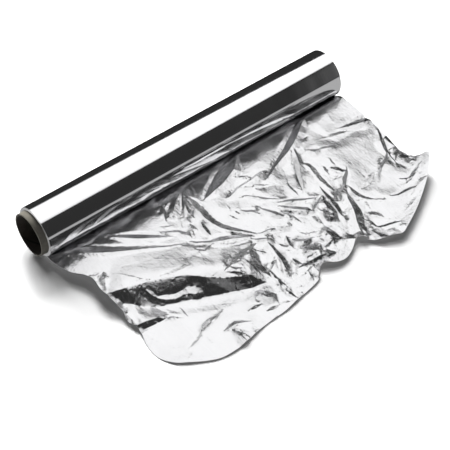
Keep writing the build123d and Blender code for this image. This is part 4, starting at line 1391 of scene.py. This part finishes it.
# %% [markdown]
# The roll is a surface of revolution, so it is written as a row of radii along the roll: up one end
# over the edges of the turns, along the skin, and down the other end. Each edge is pushed in or out
# a little at random, and every seventh stands in a bit further.

# %% Row of radii along the roll
row_count = 210
turn_edges = 22
push_range = (-0.16, 0.1)
deep_turn, deep_every, deep_push = 3, 7, 0.1
skin_inset, bore_gap, end_inset = 0.06, 0.05, 0.02
draw = random.Random(3)


def end_rings():
    """Radius of each shown turn edge, and how far it stands out past the end of the roll."""
    first, last = tube_radius + bore_gap, roll_radius - skin_inset
    rings = []
    for i in range(turn_edges):
        push = draw.uniform(*push_range) - (deep_push if i % deep_every == deep_turn else 0.0)
        rings.append((first + (last - first) * i / (turn_edges - 1), push))
    return rings


near_rings, far_rings = end_rings(), end_rings()
skin = [(roll_radius, y, True) for y in np.linspace(roll_near + end_inset, roll_far - end_inset, row_count)]
profile = ([(radius, roll_near - push, False) for radius, push in near_rings] + skin
           + [(radius, roll_far + push, False) for radius, push in far_rings[::-1]])
print("rows along the roll:", len(profile))

# %% [markdown]
# Turning the row about the roll's axis gives the mesh. The last row is joined to the first through
# the bore, so that the piece is closed. Underneath, the skin is kept just over the table.

# %% Wound turns
turn_steps = 240
turned_smooth_angle = 40
table_lift = 0.02


def turned(name, rows, steps, materials, inner_radius=0.0):
    """A closed piece turned from rows of (radius, y, on skin).

    Faces that lie within inner_radius take the second material.
    """
    corners, faces, sides = [], [], []
    for row, (radius, y, on_skin) in enumerate(rows):
        next_row = (row + 1) % len(rows)
        here, there = row * steps, next_row * steps
        for k in range(steps):
            angle = full_turn * k / steps
            r = radius + (skin_wave(angle, y) if on_skin else 0)
            corners.append((r * math.cos(angle), y, max(r * math.sin(angle), table_z + table_lift)))
            n = (k + 1) % steps
            faces.append((here + k, there + k, there + n, here + n))
        sides += [int(max(radius, rows[next_row][0]) < inner_radius)] * steps
    return build_mesh(name, corners, faces, materials, sides, turned_smooth_angle)


wound = turned("wound_turns", profile, turn_steps, [bright_foil])
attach(wound, "root")
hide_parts("foil")

# %% [markdown]
# ## The card tube
# The tube is a turned piece as well. Its section is a thin rectangle whose corners are rounded,
# because card is soft and its cut edges are never knife-sharp.

# %% Section of the tube
wall = 1.4
edge_radius = 0.25
arc_steps = 4
bore = tube_radius - wall


def rounded_end(y_end, inwards):
    """One end of the section, from the bore to the outside."""
    turns = [i / arc_steps * math.pi / 2 for i in range(arc_steps + 1)]
    rounding = [(edge_radius * (1 - math.sin(t)), edge_radius * (1 - math.cos(t))) for t in turns]
    inner_arc = [(bore + out, y_end + inwards * back) for out, back in rounding[::-1]]
    return inner_arc + [(tube_radius - out, y_end + inwards * back) for out, back in rounding]


section = rounded_end(tube_near, 1) + rounded_end(tube_far, -1)[::-1]
print("section of", len(section), "corners")

# %% [markdown]
# Faces whose two rows both lie in the bore take the darker card, which is painted shade, since hardly any
# light gets there.

# %% Card tube
tube_steps = 160
bore_margin = 0.02
rows = [(radius, y, False) for radius, y in section]
tube = turned("card_tube", rows, tube_steps, [card, bore_shaded_card], bore + bore_margin)
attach(tube, "root")
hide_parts("core_tube")
